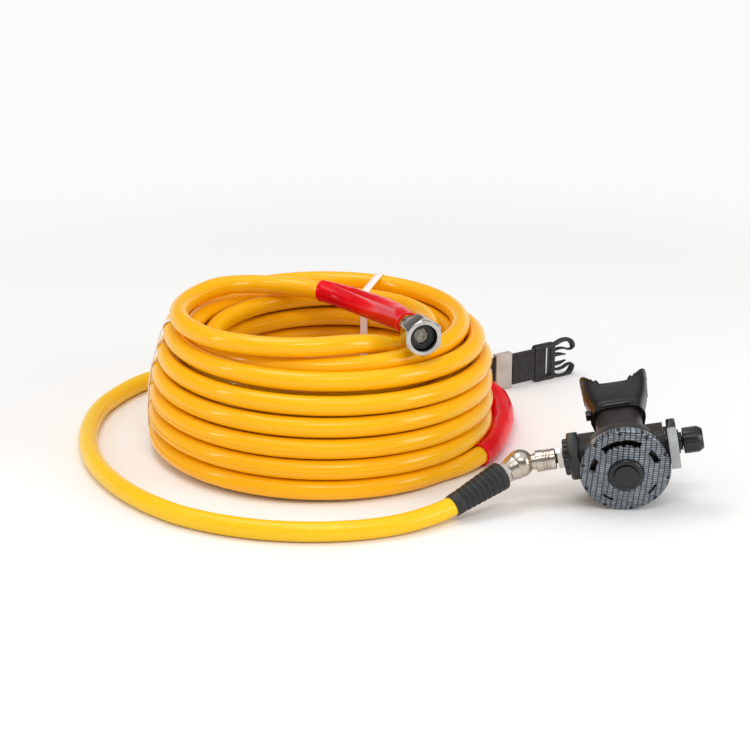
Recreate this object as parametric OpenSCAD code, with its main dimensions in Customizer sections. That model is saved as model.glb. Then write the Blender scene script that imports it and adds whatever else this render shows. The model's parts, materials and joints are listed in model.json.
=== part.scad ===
// Surface-supplied breathing set: a coiled supply hose, a whip hose with a ball swivel
// and a quick coupler, a second-stage regulator, and a belt with a check valve.
// Millimetres. +X is to the right, +Y away from the front of the regulator, +Z up.

/* [Supply hose] */
// Outside diameter of the supply hose
supply_od = 16.4; // [15.4:0.2:16.8]
// Height from one row of the coil to the next
row_pitch = 17; // [17:0.1:17.8]
// Rows in the outer wall of the coil
coil_rows = 5; // [4:1:6]
// Radius of the bottom row, to the middle of the hose
coil_radius = 141; // [139:1:145]
// How far the top row leans back from the bottom row
coil_lean = 12; // [8:1:15]
// Radius of the hole through the plain core
core_hole_radius = 82; // [76:1:86]
// Free space between the core and the turns round it
core_gap = 3; // [2:0.5:6]

/* [Sleeves and supply nut] */
// Outside diameter of the red sleeves
sleeve_od = 20; // [19.4:0.2:21.5]
// Wall left out between hose and sleeve
sleeve_play = 0.4; // [0.35:0.05:0.6]
// Outside diameter of the ferrule at each hose end
ferrule_od = 15; // [14:0.2:16]
// Length of the ferrules beside the check valve
ferrule_length = 9; // [7:0.5:11]
// Length of the long ferrule behind the supply nut
upper_ferrule_length = 23; // [20:0.5:25]
// Hexagon of the supply nut across its flats
supply_nut_af = 30; // [28:0.5:33]
// Length of the supply nut
supply_nut_length = 17; // [15:0.5:19]
// Bore of the supply nut's thread
supply_nut_bore = 23; // [21:0.5:24.5]
// Depth of the supply nut's thread
supply_nut_depth = 12; // [10:0.5:13]
// Depth of the relief behind the nut's thread
supply_nut_relief = 0.6; // [0.4:0.1:1]
// Diameter of the tail piece's collar that the nut turns on
tail_collar_od = 19; // [17.5:0.5:20]
// Thickness of the washer in the nut
gasket_thickness = 3; // [2:0.25:3.5]
// Hole in the washer
gasket_hole = 13; // [11:0.5:14.5]

/* [Whip hose] */
// Outside diameter of the whip hose
whip_od = 16; // [15:0.2:16.4]
// Length of the rubber boot
boot_length = 52; // [46:1:56]
// Diameter of the boot's big end
boot_big_od = 23.6; // [22:0.2:25]
// Diameter of the boot's small end
boot_small_od = 18.4; // [18:0.2:19.2]
// Ribs on the boot
boot_ribs = 8; // [5:1:9]
// Depth of the grooves between the boot's ribs
boot_groove = 0.9; // [0.5:0.1:1.1]
// Turn of the hose end about the vertical
hose_end_yaw = 34; // [32:0.5:35.5]
// Rise of the hose end towards the swivel
hose_end_rise = 17.5; // [16.5:0.5:18.5]

/* [Ball swivel] */
// Diameter of the ball-shaped shell
shell_od = 23; // [22:0.25:24]
// Diameter of the ball inside the shell
ball_od = 16.8; // [16:0.1:17.6]
// Diameter of the stem behind the ball
stem_od = 5.8; // [5:0.1:6.2]
// Depth that the hose side's cup reaches over the shell
cup_reach = 5; // [4:0.25:5.5]
// Hexagon of the hose end across its flats
hose_hex_af = 16.5; // [15:0.5:18]
// Length of the hose end's hexagon
hose_hex_length = 4.6; // [4:0.2:5.4]
// Distance from the ball's centre to the hexagon
hose_hex_start = 14.6; // [14.4:0.1:15.2]
// Clearance of all running fits, on the radius
running_gap = 0.05; // [0.03:0.01:0.08]

/* [Quick coupler] */
// Distance from the ball's centre to the middle of the regulator
swivel_reach = 83; // [81:0.5:85]
// Outside diameter of the knurled sleeve
coupler_sleeve_od = 17.6; // [16.8:0.2:18.2]
// Length of the knurled sleeve
coupler_sleeve_length = 16; // [15:0.5:16.5]
// Outside diameter of the coupler's body
coupler_body_od = 13.2; // [12.8:0.2:13.6]
// Diameter of the plug's nose
plug_od = 8; // [7.4:0.1:8.4]
// Balls that lock the plug
lock_balls = 6; // [4:1:8]
// Diameter of a locking ball
lock_ball_od = 2; // [1.8:0.1:2.2]
// Hexagon of the plug across its flats
plug_hex_af = 16; // [14:0.5:17]
// Length of the plug's hexagon
plug_hex_length = 5; // [4:0.25:5.5]

/* [Second-stage case] */
// Turn of the regulator about the vertical
reg_yaw = -2.5; // [-5:0.5:0]
// Lean of the regulator towards its front
reg_lean = 8.7; // [7.5:0.1:9.9]
// Roll of the regulator, its knob side going up
reg_roll = 10.4; // [9:0.1:11]
// Radius of the front cover
cover_radius = 36.5; // [36:0.25:38]
// Radius of the case
case_radius = 34; // [33.5:0.25:34.5]
// Wall of the case
case_wall = 2.2; // [1.8:0.1:2.6]
// Depth of the case, from the rim to its back
case_depth = 27; // [26:0.5:29]
// Distance of the valve barrel behind the cover's rim
barrel_back = 19.5; // [19.2:0.1:20]
// Height of the valve barrel above the cover's centre
barrel_up = 9.2; // [8:0.2:10]
// Outside diameter of the valve barrel
barrel_od = 14; // [13.6:0.1:14.4]
// Bore of the valve barrel
barrel_bore = 10; // [9.8:0.1:10.2]
// Depth of the case's square bosses round the barrel
boss_depth = 22; // [20:0.5:24]
// Height of the case's square bosses
boss_height = 27; // [25:0.5:28]
// Reach of the bosses to each side
boss_reach = 34; // [33.8:0.2:35]
// Hexagon of the black side collars across their flats
side_collar_af = 38; // [36:0.2:38.4]
// Length of the side collars
side_collar_length = 9; // [8:0.5:9.5]
// Outside diameter of the fluted inlet nut on the left collar
inlet_nut_od = 30; // [28:0.5:31]
// Length of the fluted inlet nut
inlet_nut_length = 4; // [3.6:0.2:4.6]
// Flutes round the inlet nut
nut_flutes = 12; // [8:1:14]
// Height of the grey dive lever
lever_height = 36; // [33:0.5:38]
// Width of the grey dive lever along the barrel
lever_width = 7.4; // [6.5:0.1:7.8]
// Thickness of the grey dive lever
lever_thickness = 2.2; // [1.8:0.1:2.6]
// Reach of the exhaust tee behind the rim
tee_back = 40; // [38:0.5:41]
// Angle that the exhaust tee covers under the case
tee_angle = 150; // [130:5:165]

/* [Cover and purge] */
// Height of the cover's dome in front of its rim
cover_dome = 5.5; // [4.5:0.25:6]
// Width of the cover's skirt
cover_skirt = 7; // [6:0.25:7.5]
// Chamfer round the cover's rim
cover_chamfer = 1.2; // [0.8:0.1:1.6]
// Diameter of the purge button
purge_od = 28; // [26:0.5:29]
// Travel of the purge button
purge_travel = 3; // [2:0.25:3.2]
// Notches round the cover's rim
rim_notches = 10; // [8:1:12]
// Width of the cover's wide slots
wide_slot = 5; // [4:0.2:5.4]
// Radius of the cover's slots
slot_radius = 26.5; // [25.5:0.25:27]

/* [Valve] */
// Outside diameter of the poppet
poppet_od = 8.8; // [8.4:0.1:9.2]
// Diameter of the poppet's stem
poppet_stem_od = 3; // [2.6:0.1:3.2]
// Diameter of the lever's pin
lever_pin_od = 1.6; // [1.4:0.1:1.8]
// Diameter of the adjusting knob
knob_od = 21; // [20:0.2:23]
// Length of the adjusting knob
knob_length = 16; // [14.5:0.5:17]
// Flutes round the adjusting knob
knob_flutes = 10; // [6:1:12]
// Diameter of the knob's stem
knob_stem_od = 9; // [8.6:0.1:9.4]
// Outside diameter of the sleeve that the knob's stem turns in
gland_od = 14.6; // [14.4:0.1:15.2]

/* [Mouthpiece] */
// Rise of the mouth tube against the case
mouth_rise = 11; // [8:0.5:14]
// Width of the mouth tube
tube_width = 38; // [36:0.5:39.5]
// Height of the mouth tube
tube_height = 25; // [23:0.5:27]
// Wall of the mouth tube
tube_wall = 2.2; // [1.8:0.1:2.6]
// Length of the mouth tube
tube_length = 46; // [45:0.5:48]
// Length of the mouthpiece
mouthpiece_length = 49; // [46:0.5:52]
// Width across the mouthpiece's wings
wing_width = 55; // [51:0.5:58]
// Height of the mouthpiece's wings
wing_height = 28; // [25:0.5:30]
// Rubber round the mouth tube
mouthpiece_wall = 2.4; // [2:0.1:2.8]
// Width of the tie round the mouthpiece
mouth_tie_width = 4; // [3:0.25:5]

/* [Belt] */
// Width of the webbing
webbing_width = 30; // [28:0.5:32]
// Thickness of the webbing
webbing_thickness = 1.8; // [1.5:0.1:2.2]
// Turn of the belt's straight end about the vertical
belt_yaw = 33; // [31:0.5:35]
// Height of the buckle
buckle_height = 36; // [35:0.5:38]
// Height of the keeper
keeper_height = 35; // [33.5:0.5:36]
// Length of the keeper along the belt
keeper_length = 18; // [16:0.5:20]
// Length of the buckle's frame
buckle_frame = 24; // [22:0.5:26]
// Length of the buckle's prongs
prong_length = 23.5; // [22:0.5:26]
// Thickness of the buckle
buckle_thickness = 8; // [7:0.25:9]
// Distance from the keeper to the buckle
frame_from_keeper = 27; // [22:0.5:30]
// Length of the buckle's socket
socket_length = 44; // [42:0.5:48]
// Depth of the buckle's socket
socket_depth = 13; // [12:0.5:14]
// Length of the check valve's body
block_length = 46; // [44:1:50]
// Depth of the check valve's body
block_depth = 25; // [24:0.5:26]
// Height of the check valve's body
block_height = 28; // [26:0.5:30]
// Bore of the check valve's body
block_bore = 11; // [10:0.5:12]
// Hexagon of the hose nuts on the check valve across their flats
block_nut_af = 22; // [20:0.5:24]

/* [Cable ties] */
// Width of the white cable ties
tie_width = 7; // [5:0.5:8]
// Thickness of the cable ties
tie_thickness = 1.2; // [1:0.1:1.4]

/* [Hidden] */
$fn = 64;

// The reference point lies this far from the coil's middle.
base_x = 115.3;
base_y = 15.8;

// Colours
hose_yellow = "#f5a800";
sleeve_red = "#d81e24";
chrome = "#cfcac2";
black = "#232426";
carbon = "#4a4d50";
grey = "#9c9d9b";
webbing_black = "#1b1b1d";
tie_white = "#f4f0ea";
brass = "#b9975a";
steel = "#b8bbbe";
silicone = "#d9dcda";

// Places, counted from the coil's middle on the floor
cover_x = 247.7;
cover_y = -157;
keeper_place = [167.5, 135];
block_place = [16, 177];
webbing_lift = (buckle_height - webbing_width) / 2;
supply_r = supply_od / 2;
whip_r = whip_od / 2;
block_axis_z = 14;
fit_gap = 0.1;
face_gap = 0.2;

// Vectors
function unit(v) = v / norm(v);
function turn_x(a, v) = [v.x, v.y * cos(a) - v.z * sin(a), v.y * sin(a) + v.z * cos(a)];
function turn_y(a, v) = [v.x * cos(a) + v.z * sin(a), v.y, v.z * cos(a) - v.x * sin(a)];
function turn_z(a, v) = [v.x * cos(a) - v.y * sin(a), v.x * sin(a) + v.y * cos(a), v.z];

// The regulator's own frame: origin in the middle of the cover's rim, X along the barrel
// towards the knob, Y towards the mouth, Z up. The rim touches the floor.
cover_z = cover_radius * cos(reg_lean) - cover_chamfer * sin(reg_lean);
cover_place = [cover_x, cover_y, cover_z];
function reg_point(v) = cover_place + turn_z(reg_yaw, turn_x(reg_lean, turn_y(-reg_roll, v)));
tee_round = 1.4;
tee_radius = cover_radius + (tee_back - tee_round - cover_chamfer) * tan(reg_lean) - 0.02;

// The hose end points at the ball's centre.
ball_place = reg_point([-swivel_reach, barrel_back, barrel_up]);
hose_end_way = turn_z(hose_end_yaw, turn_y(-hose_end_rise, [1, 0, 0]));
function hose_end_point(back) = ball_place - back * hose_end_way;
boot_start = hose_hex_start + hose_hex_length;
hose_in_boot = boot_start + 22;

// Coil: radius, middle and height of the hose, by turns from its lower end. The turns run
// clockwise, up the outer wall, then once round the top inside it, then over that as a loop.
coil_first_angle = -42;
coil_turns = coil_rows + 2.5;
rings_per_turn = 24;
wall_height = supply_r + coil_rows * row_pitch;
top_radius = coil_radius - 10;
function after(t) = coil_rows + t;
radius_by_turn = [[0, coil_radius], [1, coil_radius + 1], [2, coil_radius + 1],
    [after(-1), coil_radius - 2],
  [after(0), top_radius], [after(0.4), top_radius], [after(0.6), top_radius - 2.2],
      [after(0.7), top_radius - 5.5],
  [after(0.8), top_radius - 10], [after(0.9), top_radius - 13.5], [after(1), top_radius - 16.5],
  [after(1.25), top_radius - 17.2], [after(1.4), top_radius - 19], [after(1.6), top_radius - 19.4],
  [after(1.7), top_radius - 22.5], [after(1.8), top_radius - 27], [after(1.9), top_radius - 31],
  [after(2), top_radius - 37], [after(2.04), top_radius - 35.5], [after(2.12), top_radius - 29],
  [after(2.35), top_radius - 25], [after(2.5), top_radius - 27]];
middle_x_by_turn = [[0, 0], [2, 1], [after(-1), 3], [after(0), 4], [after(1.7), 4], [after(2), -4],
  [after(2.25), -14], [after(2.5), -14]];
middle_y_by_turn = [[0, 6], [after(0), 6 + coil_lean], [after(1.7), 6 + coil_lean], [after(2), 8],
  [after(2.25), 3], [after(2.5), 3]];
height_by_turn = [[0, supply_r], [after(0), wall_height], [after(0.4), wall_height + 8],
  [after(0.6), wall_height + 10.4], [after(0.8), wall_height + 10.8], [after(1), wall_height + 9.4],
  [after(1.4), wall_height + 9], [after(1.9), wall_height + 9], [after(1.97), wall_height + 10.5],
  [after(2), wall_height + 13.5], [after(2.06), wall_height + 25], [after(2.12), wall_height + 26.6],
  [after(2.5), wall_height + 26.6]];
function coil_point(t) =
  let (angle = coil_first_angle - 360 * t, r = lookup(t, radius_by_turn))
  [lookup(t, middle_x_by_turn) + r * cos(angle), lookup(t, middle_y_by_turn) + r * sin(angle),
    lookup(t, height_by_turn)];
coil_steps = floor(coil_turns * rings_per_turn + 0.01);
coil_points = [for (i = [0 : coil_steps]) coil_point(i / rings_per_turn)];

// Tails of the supply hose: from the check valve to the coil, and from the coil to the nut
block_right = block_place.x + block_length / 2;
supply_end_x = block_right + ferrule_length + 11;
sleeve_z = sleeve_od / 2 + 0.1;
lower_tail = [[supply_end_x, block_place.y, block_axis_z], [supply_end_x + supply_od, block_place.y,
    block_axis_z],
  [96, 169, 12], [112, 153, sleeve_z], [127, 136, sleeve_z], [141, 119, sleeve_z],
  [153, 102, sleeve_z], [160, 82, sleeve_z], [162.7, 55, sleeve_z], [161.7, 27, sleeve_z],
      [157.2, 0, sleeve_z],
  [151.6, -24, sleeve_z], [144.6, -44, sleeve_z], [136.2, -59, sleeve_z], [120, -77, supply_r + 0.6]];
lower_sleeve_first = 6;
lower_sleeve_last = 13;
nut_way = unit([0.29, -0.955, 0.02]);
nut_face = [88, -90, wall_height + 32];
tail_back = supply_nut_length + 0.3 + upper_ferrule_length;
nut_wall = supply_nut_length - supply_nut_depth;
tail_end = nut_face - tail_back * nut_way;
upper_tail = [[-64, 92, wall_height + 23], [-34, 96, wall_height + 20], [0, 84, wall_height + 19],
  [24, 61, wall_height + 20.5], [43, 33, wall_height + 23], [58, 6, wall_height + 26],
  [67.5, -20, wall_height + 29], tail_end - supply_od * nut_way, tail_end];
supply_points = concat(lower_tail, coil_points, upper_tail);
upper_sleeve_first = len(supply_points) - len(upper_tail) + 2;
upper_sleeve_last = len(supply_points) - 1;

// Whip hose: from the check valve round behind, the left side and the front to the boot
block_left = block_place.x - block_length / 2;
whip_start_x = block_left - ferrule_length - 11;
whip_points = [[whip_start_x, block_place.y, block_axis_z], [whip_start_x - whip_od, block_place.y,
    block_axis_z],
  [-66, 177, 11], [-96, 174, 9], [-123, 166, whip_r + 0.2], [-147, 152, whip_r + 0.1],
  [-167, 134, whip_r], [-180, 114, whip_r], [-191, 90, whip_r], [-199, 65, whip_r], [-203, 34, whip_r],
  [-202, -8, whip_r], [-195, -45, whip_r], [-185, -76, whip_r], [-172, -103, whip_r],
      [-158, -126, whip_r],
  [-140, -149, whip_r], [-123, -166, whip_r], [-106, -180, whip_r], [-89, -190, whip_r],
  [-70, -199, whip_r], [-41, -208, whip_r], [-10, -212, whip_r], [21, -211, whip_r], [50, -205, whip_r],
  [76, -194, whip_r + 0.6], hose_end_point(boot_start + boot_length + 0.2), hose_end_point(hose_in_boot)];

// A tube swept along points, each ring square to its way, as one closed surface
function way_at(pts, i) = unit(pts[min(i + 1, len(pts) - 1)] - pts[max(i - 1, 0)]);
function ring_at(pts, i, r, sides) =
  let (w = way_at(pts, i), s = unit(cross(w, [0, 0, 1])), u = cross(s, w))
  [for (k = [0 : sides - 1]) pts[i] + r * (sin(360 * k / sides) * s + cos(360 * k / sides) * u)];
function side_faces(rings, sides, start, inward) =
  [for (i = [0 : rings - 2], k = [0 : sides - 1], half = [0, 1])
    let (a = start + i * sides + k, b = start + i * sides + (k + 1) % sides, c = b + sides, d = a + sides)
    let (face = half == 0 ? [a, c, b] : [a, d, c]) inward ? [face[0], face[2], face[1]] : face];
module tube(pts, r, sides) {
  n = len(pts);
  last = (n - 1) * sides;
  points = [for (i = [0 : n - 1]) each ring_at(pts, i, r, sides)];
  caps = [for (k = [1 : sides - 2]) each [[0, k, k + 1], [last, last + k + 1, last + k]]];
  polyhedron(points, concat(side_faces(n, sides, 0, false), caps));
}
module hollow_tube(pts, first, last, r_out, r_in, sides) {
  n = last - first + 1;
  outer = [for (i = [first : last]) each ring_at(pts, i, r_out, sides)];
  inner = [for (i = [first : last]) each ring_at(pts, i, r_in, sides)];
  m = n * sides;
  ends = [for (k = [0 : sides - 1], half = [0, 1])
    let (k2 = (k + 1) % sides, e = (n - 1) * sides)
    each [half == 0 ? [k, k2, m + k2] : [k, m + k2, m + k],
      half == 0 ? [e + k, m + e + k2, e + k2] : [e + k, m + e + k, m + e + k2]]];
  polyhedron(concat(outer, inner), concat(side_faces(n, sides, 0, false), side_faces(n, sides, m, true),
      ends));
}

// Least gap of the supply hose to itself, past the stretch that follows on
least_gap = min([for (i = [0 : len(supply_points) - 1])
  min([for (j = [i + 6 : max(i + 6, len(supply_points) - 1)])
    j < len(supply_points) ? norm(supply_points[i] - supply_points[j]) - supply_od : 999])]);
echo(least_gap_of_supply_hose_to_itself = least_gap);

// Frames
module from_base() { translate([-base_x, -base_y, 0]) children(); }
module reg_frame() {
  from_base() translate(cover_place) rotate([0, 0, reg_yaw]) rotate([reg_lean, 0, 0])
      rotate([0, -reg_roll, 0]) children();
}
module along_y(y) { translate([0, y, 0]) rotate([-90, 0, 0]) children(); }
module barrel_frame(x) { reg_frame() translate([x, barrel_back, barrel_up]) rotate([0, 90, 0])
    children(); }
module ball_frame(x) { barrel_frame(x - swivel_reach) children(); }
module hose_end_frame(back) {
  from_base() translate(hose_end_point(back)) rotate([0, 0, hose_end_yaw])
      rotate([0, 90 - hose_end_rise, 0]) children();
}
module nut_frame(back) {
  from_base() translate(nut_face - back * nut_way)
    rotate([0, 0, atan2(nut_way.y, nut_way.x)]) rotate([0, 90 - asin(nut_way.z), 0]) children();
}
module belt_frame() { from_base() translate([keeper_place.x, keeper_place.y, 0]) rotate([0, 0, belt_yaw])
    children(); }
module block_frame() { from_base() translate([block_place.x, block_place.y, block_axis_z]) children(); }
module mouth_frame(along) {
  reg_frame() translate([0, mouth_root_y, mouth_root_z]) rotate([mouth_rise - 90, 0, 0])
    translate([0, 0, along]) children();
}
mouth_root_y = 22;
mouth_root_z = 10;

// Plain shapes
module ring(r_out, r_in, h) {
  difference() {
    cylinder(r = r_out, h = h);
    translate([0, 0, -1]) cylinder(r = r_in, h = h + 2);
  }
}
module hexagon(af, h) { cylinder(d = af / cos(30), h = h, $fn = 6); }
module fluted(d, h, count, flute_r, sink) {
  difference() {
    cylinder(d = d, h = h);
    for (i = [0 : count - 1]) rotate(360 / count * i) translate([d / 2 + flute_r - sink, 0, -1])
        cylinder(r = flute_r, h = h + 2, $fn = 24);
  }
}
module oval(width, height) {
  for (s = [-1, 1]) translate([s * (width - height) / 2, 0]) circle(d = height);
  square([width - height, height], center = true);
}
module arc_slot(radius, width, half_angle, depth) {
  rotate([0, 0, 90 - half_angle]) rotate_extrude(angle = 2 * half_angle)
      translate([radius - width / 2, 0]) square([width, depth]);
}

// Supply hose, its core, sleeves and ties
module supply_hose() { color(hose_yellow) from_base() tube(supply_points, supply_r, 6); }
core_top = wall_height - 1.5;
module supply_core() {
  r_low = coil_radius - supply_r - core_gap - 6;
  r_high = top_radius - supply_r - core_gap - 5;
  color(hose_yellow) difference() {
    from_base() translate([core_middle.x, core_middle.y, 0]) rotate_extrude()
        polygon([[core_hole_radius, 0], [r_low, 0],
      [r_low, core_top * 0.3], [r_high, core_top], [core_hole_radius, core_top]]);
    tie_frame(back_tie_angle) translate([core_hole_radius - 10, -tie_width / 2 - 0.5, -1])
      cube([80, tie_width + 1, tie_thickness + 1.8]);
  }
}
module upper_sleeve() {
  color(sleeve_red) from_base() hollow_tube(supply_points, upper_sleeve_first, upper_sleeve_last,
      sleeve_od / 2,
    supply_r + sleeve_play, 12);
}
module lower_sleeve() {
  color(sleeve_red) from_base() hollow_tube(supply_points, lower_sleeve_first, lower_sleeve_last,
      sleeve_od / 2,
    supply_r + sleeve_play, 12);
}
// Cable ties: closed bands in upright planes through the middle of the core
back_tie_angle = 68;
left_tie_angle = 182;
core_middle = [3, 6 + coil_lean / 2];
module tie_frame(angle) { from_base() translate([core_middle.x, core_middle.y, 0]) rotate([0, 0, angle])
    children(); }
module tie_band(outline, angle) {
  color(tie_white) tie_frame(angle) rotate([90, 0, 0]) linear_extrude(height = tie_width, center = true)
      difference() {
    offset(delta = tie_thickness) polygon(outline);
    polygon(outline);
  }
}
// Where a row passes the tie: distance from the middle of the core, and height
function row_at(row, angle) =
  let (p = coil_point(row + (coil_first_angle - angle + 360) / 360))
  [norm([p.x - core_middle.x, p.y - core_middle.y]), p.z];
// The points lie beside the rows, further out where the coil's wall leans
function rows_outside(angle, reach) = [for (k = [coil_rows : -1 : 0])
  let (low = min(k, coil_rows - 1), rise = row_at(low + 1, angle) - row_at(low, angle))
  row_at(k, angle) + [reach * norm(rise) / rise.y, 0]];
tie_reach = supply_r + 0.3;
module coil_tie_left() {
  top = row_at(coil_rows, left_tie_angle);
  low = row_at(0, left_tie_angle);
  over = tie_reach + 0.3;
  inside = over + 0.5;
  tie_band(concat([top + [-inside, 0], top + [0.4 - inside, 5], top + [-4, over], top + [4, over]],
    [top + [over - 1, 5]], rows_outside(left_tie_angle, tie_reach),
    [low + [tie_reach - 3, -over], low + [-tie_reach, -over]]), left_tie_angle);
}
module coil_tie_back() {
  top = row_at(coil_rows, back_tie_angle);
  second = row_at(coil_rows + 1, back_tie_angle);
  low = row_at(0, back_tie_angle);
  inner = core_hole_radius - 0.3;
  over = tie_reach + 0.8;
  floor_gap = tie_thickness + 0.2;
  tie_band(concat([[inner, floor_gap], [inner, core_top + 0.5], second + [-over, 3], second + [-3, over]],
    [top + [4, over], top + [over - 1, 5]], rows_outside(back_tie_angle, tie_reach),
    [low + [tie_reach - 3, -tie_reach], [low.x - 12, floor_gap]]), back_tie_angle);
}

// Upper tail piece: a ferrule on the hose and a collar that the nut turns on
tail_neck_od = 12;
ferrule_lip = 3;
collar_height = 3;
module upper_tail_piece() {
  collar_at = upper_ferrule_length + 0.3 + nut_wall + running_gap;
  color(chrome) nut_frame(tail_back) difference() {
    union() {
      cylinder(d = ferrule_od, h = upper_ferrule_length);
      cylinder(d = ferrule_od + 1.4, h = ferrule_lip);
      cylinder(d = tail_neck_od, h = collar_at + 1);
      translate([0, 0, collar_at]) cylinder(d = tail_collar_od, h = collar_height);
    }
    translate([0, 0, -1]) cylinder(d = hose_bore, h = 60);
  }
}
hose_bore = 8;
module supply_nut() {
  half = supply_nut_af / 2;
  color(chrome) nut_frame(supply_nut_length) difference() {
    intersection() {
      hexagon(supply_nut_af, supply_nut_length);
      rotate_extrude() polygon([[0, 0], [half, 0], [half + 2, 2.5], [half + 2, supply_nut_length - 2],
        [half - 0.5, supply_nut_length], [0, supply_nut_length]]);
    }
    translate([0, 0, nut_wall]) cylinder(d = supply_nut_bore, h = supply_nut_length);
    translate([0, 0, nut_wall])
      cylinder(d = supply_nut_bore + 2 * supply_nut_relief, h = gasket_at + gasket_thickness + 0.25 - nut_wall);
    translate([0, 0, -1]) cylinder(d = tail_neck_od + 2 * running_gap, h = supply_nut_length);
  }
}
gasket_at = nut_wall + running_gap + collar_height;
module inlet_gasket() {
  color(black) nut_frame(supply_nut_length)
    translate([0, 0, gasket_at]) ring(supply_nut_bore / 2 - 0.3, gasket_hole / 2, gasket_thickness);
}
module inlet_screen() {
  r = gasket_hole / 2 - 0.05;
  color(grey) nut_frame(supply_nut_length) translate([0, 0, gasket_at]) rotate_extrude()
    polygon([[0, 0], [r, 0], [r, 0.9], [r - 2.5, 1.6], [0, 1.9]]);
}

// Check valve on the belt, with a hose screwed into each end
module block_tail_piece() {
  difference() {
    union() {
      cylinder(d = ferrule_od, h = ferrule_length);
      translate([0, 0, ferrule_length]) hexagon(block_nut_af, 10.8);
      translate([0, 0, ferrule_length + 10.8]) cylinder(d = block_bore - 0.2, h = 8);
    }
    translate([0, 0, -1]) cylinder(d = hose_bore - 1, h = 60);
  }
}
module lower_tail_piece() {
  color(chrome) from_base() translate([supply_end_x, block_place.y, block_axis_z]) rotate([0, -90, 0])
      block_tail_piece();
}
module whip_tail_piece() {
  color(chrome) from_base() translate([whip_start_x, block_place.y, block_axis_z]) rotate([0, 90, 0])
      block_tail_piece();
}
module check_body() {
  seat_d = block_bore - 4;
  color(black) block_frame() difference() {
    union() {
      intersection() {
        translate([-block_length / 2, -block_depth / 2, -block_axis_z])
            cube([block_length, block_depth, block_height]);
        rotate([0, 90, 0]) cylinder(d = 34, h = block_length, center = true);
      }
      translate([-16, block_depth / 2 - 1, -block_axis_z])
          cube([32, webbing_thickness + 5, buckle_height]);
    }
    rotate([0, 90, 0]) translate([0, 0, -block_length / 2 - 1])
        cylinder(d = block_bore, h = block_length / 2 + 7);
    rotate([0, 90, 0]) cylinder(d = seat_d, h = block_length);
    rotate([0, 90, 0]) translate([0, 0, block_length / 2 - 9]) cylinder(d = block_bore, h = 10);
    translate([-20, webbing_y - 0.3, webbing_lift - block_axis_z - 0.3])
        cube([40, webbing_thickness + 0.6, webbing_width + 0.6]);
  }
}
webbing_y = block_depth / 2 + 1.5;
module check_poppet() {
  color(brass) block_frame() rotate([0, 90, 0]) {
    translate([0, 0, -2]) cylinder(d = block_bore - 0.8, h = 7.8);
    translate([0, 0, 5.8]) cylinder(d = block_bore - 4.6, h = 4);
    translate([0, 0, -7]) cylinder(d = 4, h = 5);
  }
}
module check_spring() {
  color(steel) block_frame() rotate([0, 90, 0]) translate([0, 0, -block_length / 2 + 8.2])
      ring(block_bore / 2 - 0.6, 2.9, block_length / 2 - 10.4);
}

// Whip hose, boot and hose end
module whip_hose() { color(hose_yellow) from_base() tube(whip_points, whip_r, 12); }
module hose_boot() {
  pitch = (boot_length - 12) / boot_ribs;
  r_big = boot_big_od / 2;
  r_small = boot_small_od / 2;
  function boot_r(z) = r_big + (r_small - r_big) * min(1, max(0, (z - 5) / (boot_length - 10)));
  outline = concat([[r_big - 1.5, 0], [r_big, 1.2]],
    [for (i = [0 : boot_ribs - 1]) let (z = 6 + i * pitch)
        each [[boot_r(z), z], [boot_r(z) - boot_groove, z + 0.6],
      [boot_r(z) - boot_groove, z + pitch * 0.35], [boot_r(z + pitch * 0.5), z + pitch * 0.5]]],
    [[r_small, boot_length - 1.5], [r_small - 0.4, boot_length]]);
  color(black) hose_end_frame(boot_start + boot_length) translate([0, 0, boot_length]) rotate([180, 0, 0])
    rotate_extrude() polygon(concat([[whip_r + 0.15, 0]], outline, [[whip_r + 0.15, boot_length]]));
}
module hose_end_fitting() {
  shank = 21.5;
  color(chrome) hose_end_frame(boot_start + shank) difference() {
    union() {
      cylinder(r = whip_r - 0.6, h = shank);
      translate([0, 0, shank]) hexagon(hose_hex_af, hose_hex_length);
    }
    translate([0, 0, 4]) cylinder(r = journal_r + running_gap, h = 60);
    translate([0, 0, -1]) cylinder(r = 2, h = 60);
  }
}
journal_r = 3.6;

// Ball swivel: the stem turns in the hose end, and its ball sits in a shell with a slot,
// in which the stem swings from straight to bent. A cup on the stem covers the slot.
shell_r = shell_od / 2;
cavity_r = ball_od / 2 + running_gap;
cup_r = shell_r + 0.2;
cup_back = hose_hex_start - 0.2;
module swivel_stem() {
  color(chrome) hose_end_frame(0) difference() {
    union() {
      translate([0, 0, -hose_hex_start - hose_hex_length - 12])
          cylinder(r = journal_r, h = 12 + hose_hex_length + 1);
      difference() {
        translate([0, 0, -cup_back]) cylinder(r1 = hose_hex_af / 2 - 0.3, r2 = shell_r - 0.9,
            h = cup_back - shell_r + cup_reach);
        sphere(r = cup_r, $fn = 96);
      }
      translate([0, 0, -cup_back]) cylinder(d = stem_od, h = cup_back - 4);
      sphere(d = ball_od, $fn = 96);
    }
    translate([0, 0, -60]) cylinder(r = 1.4, h = 60);
  }
}
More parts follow.
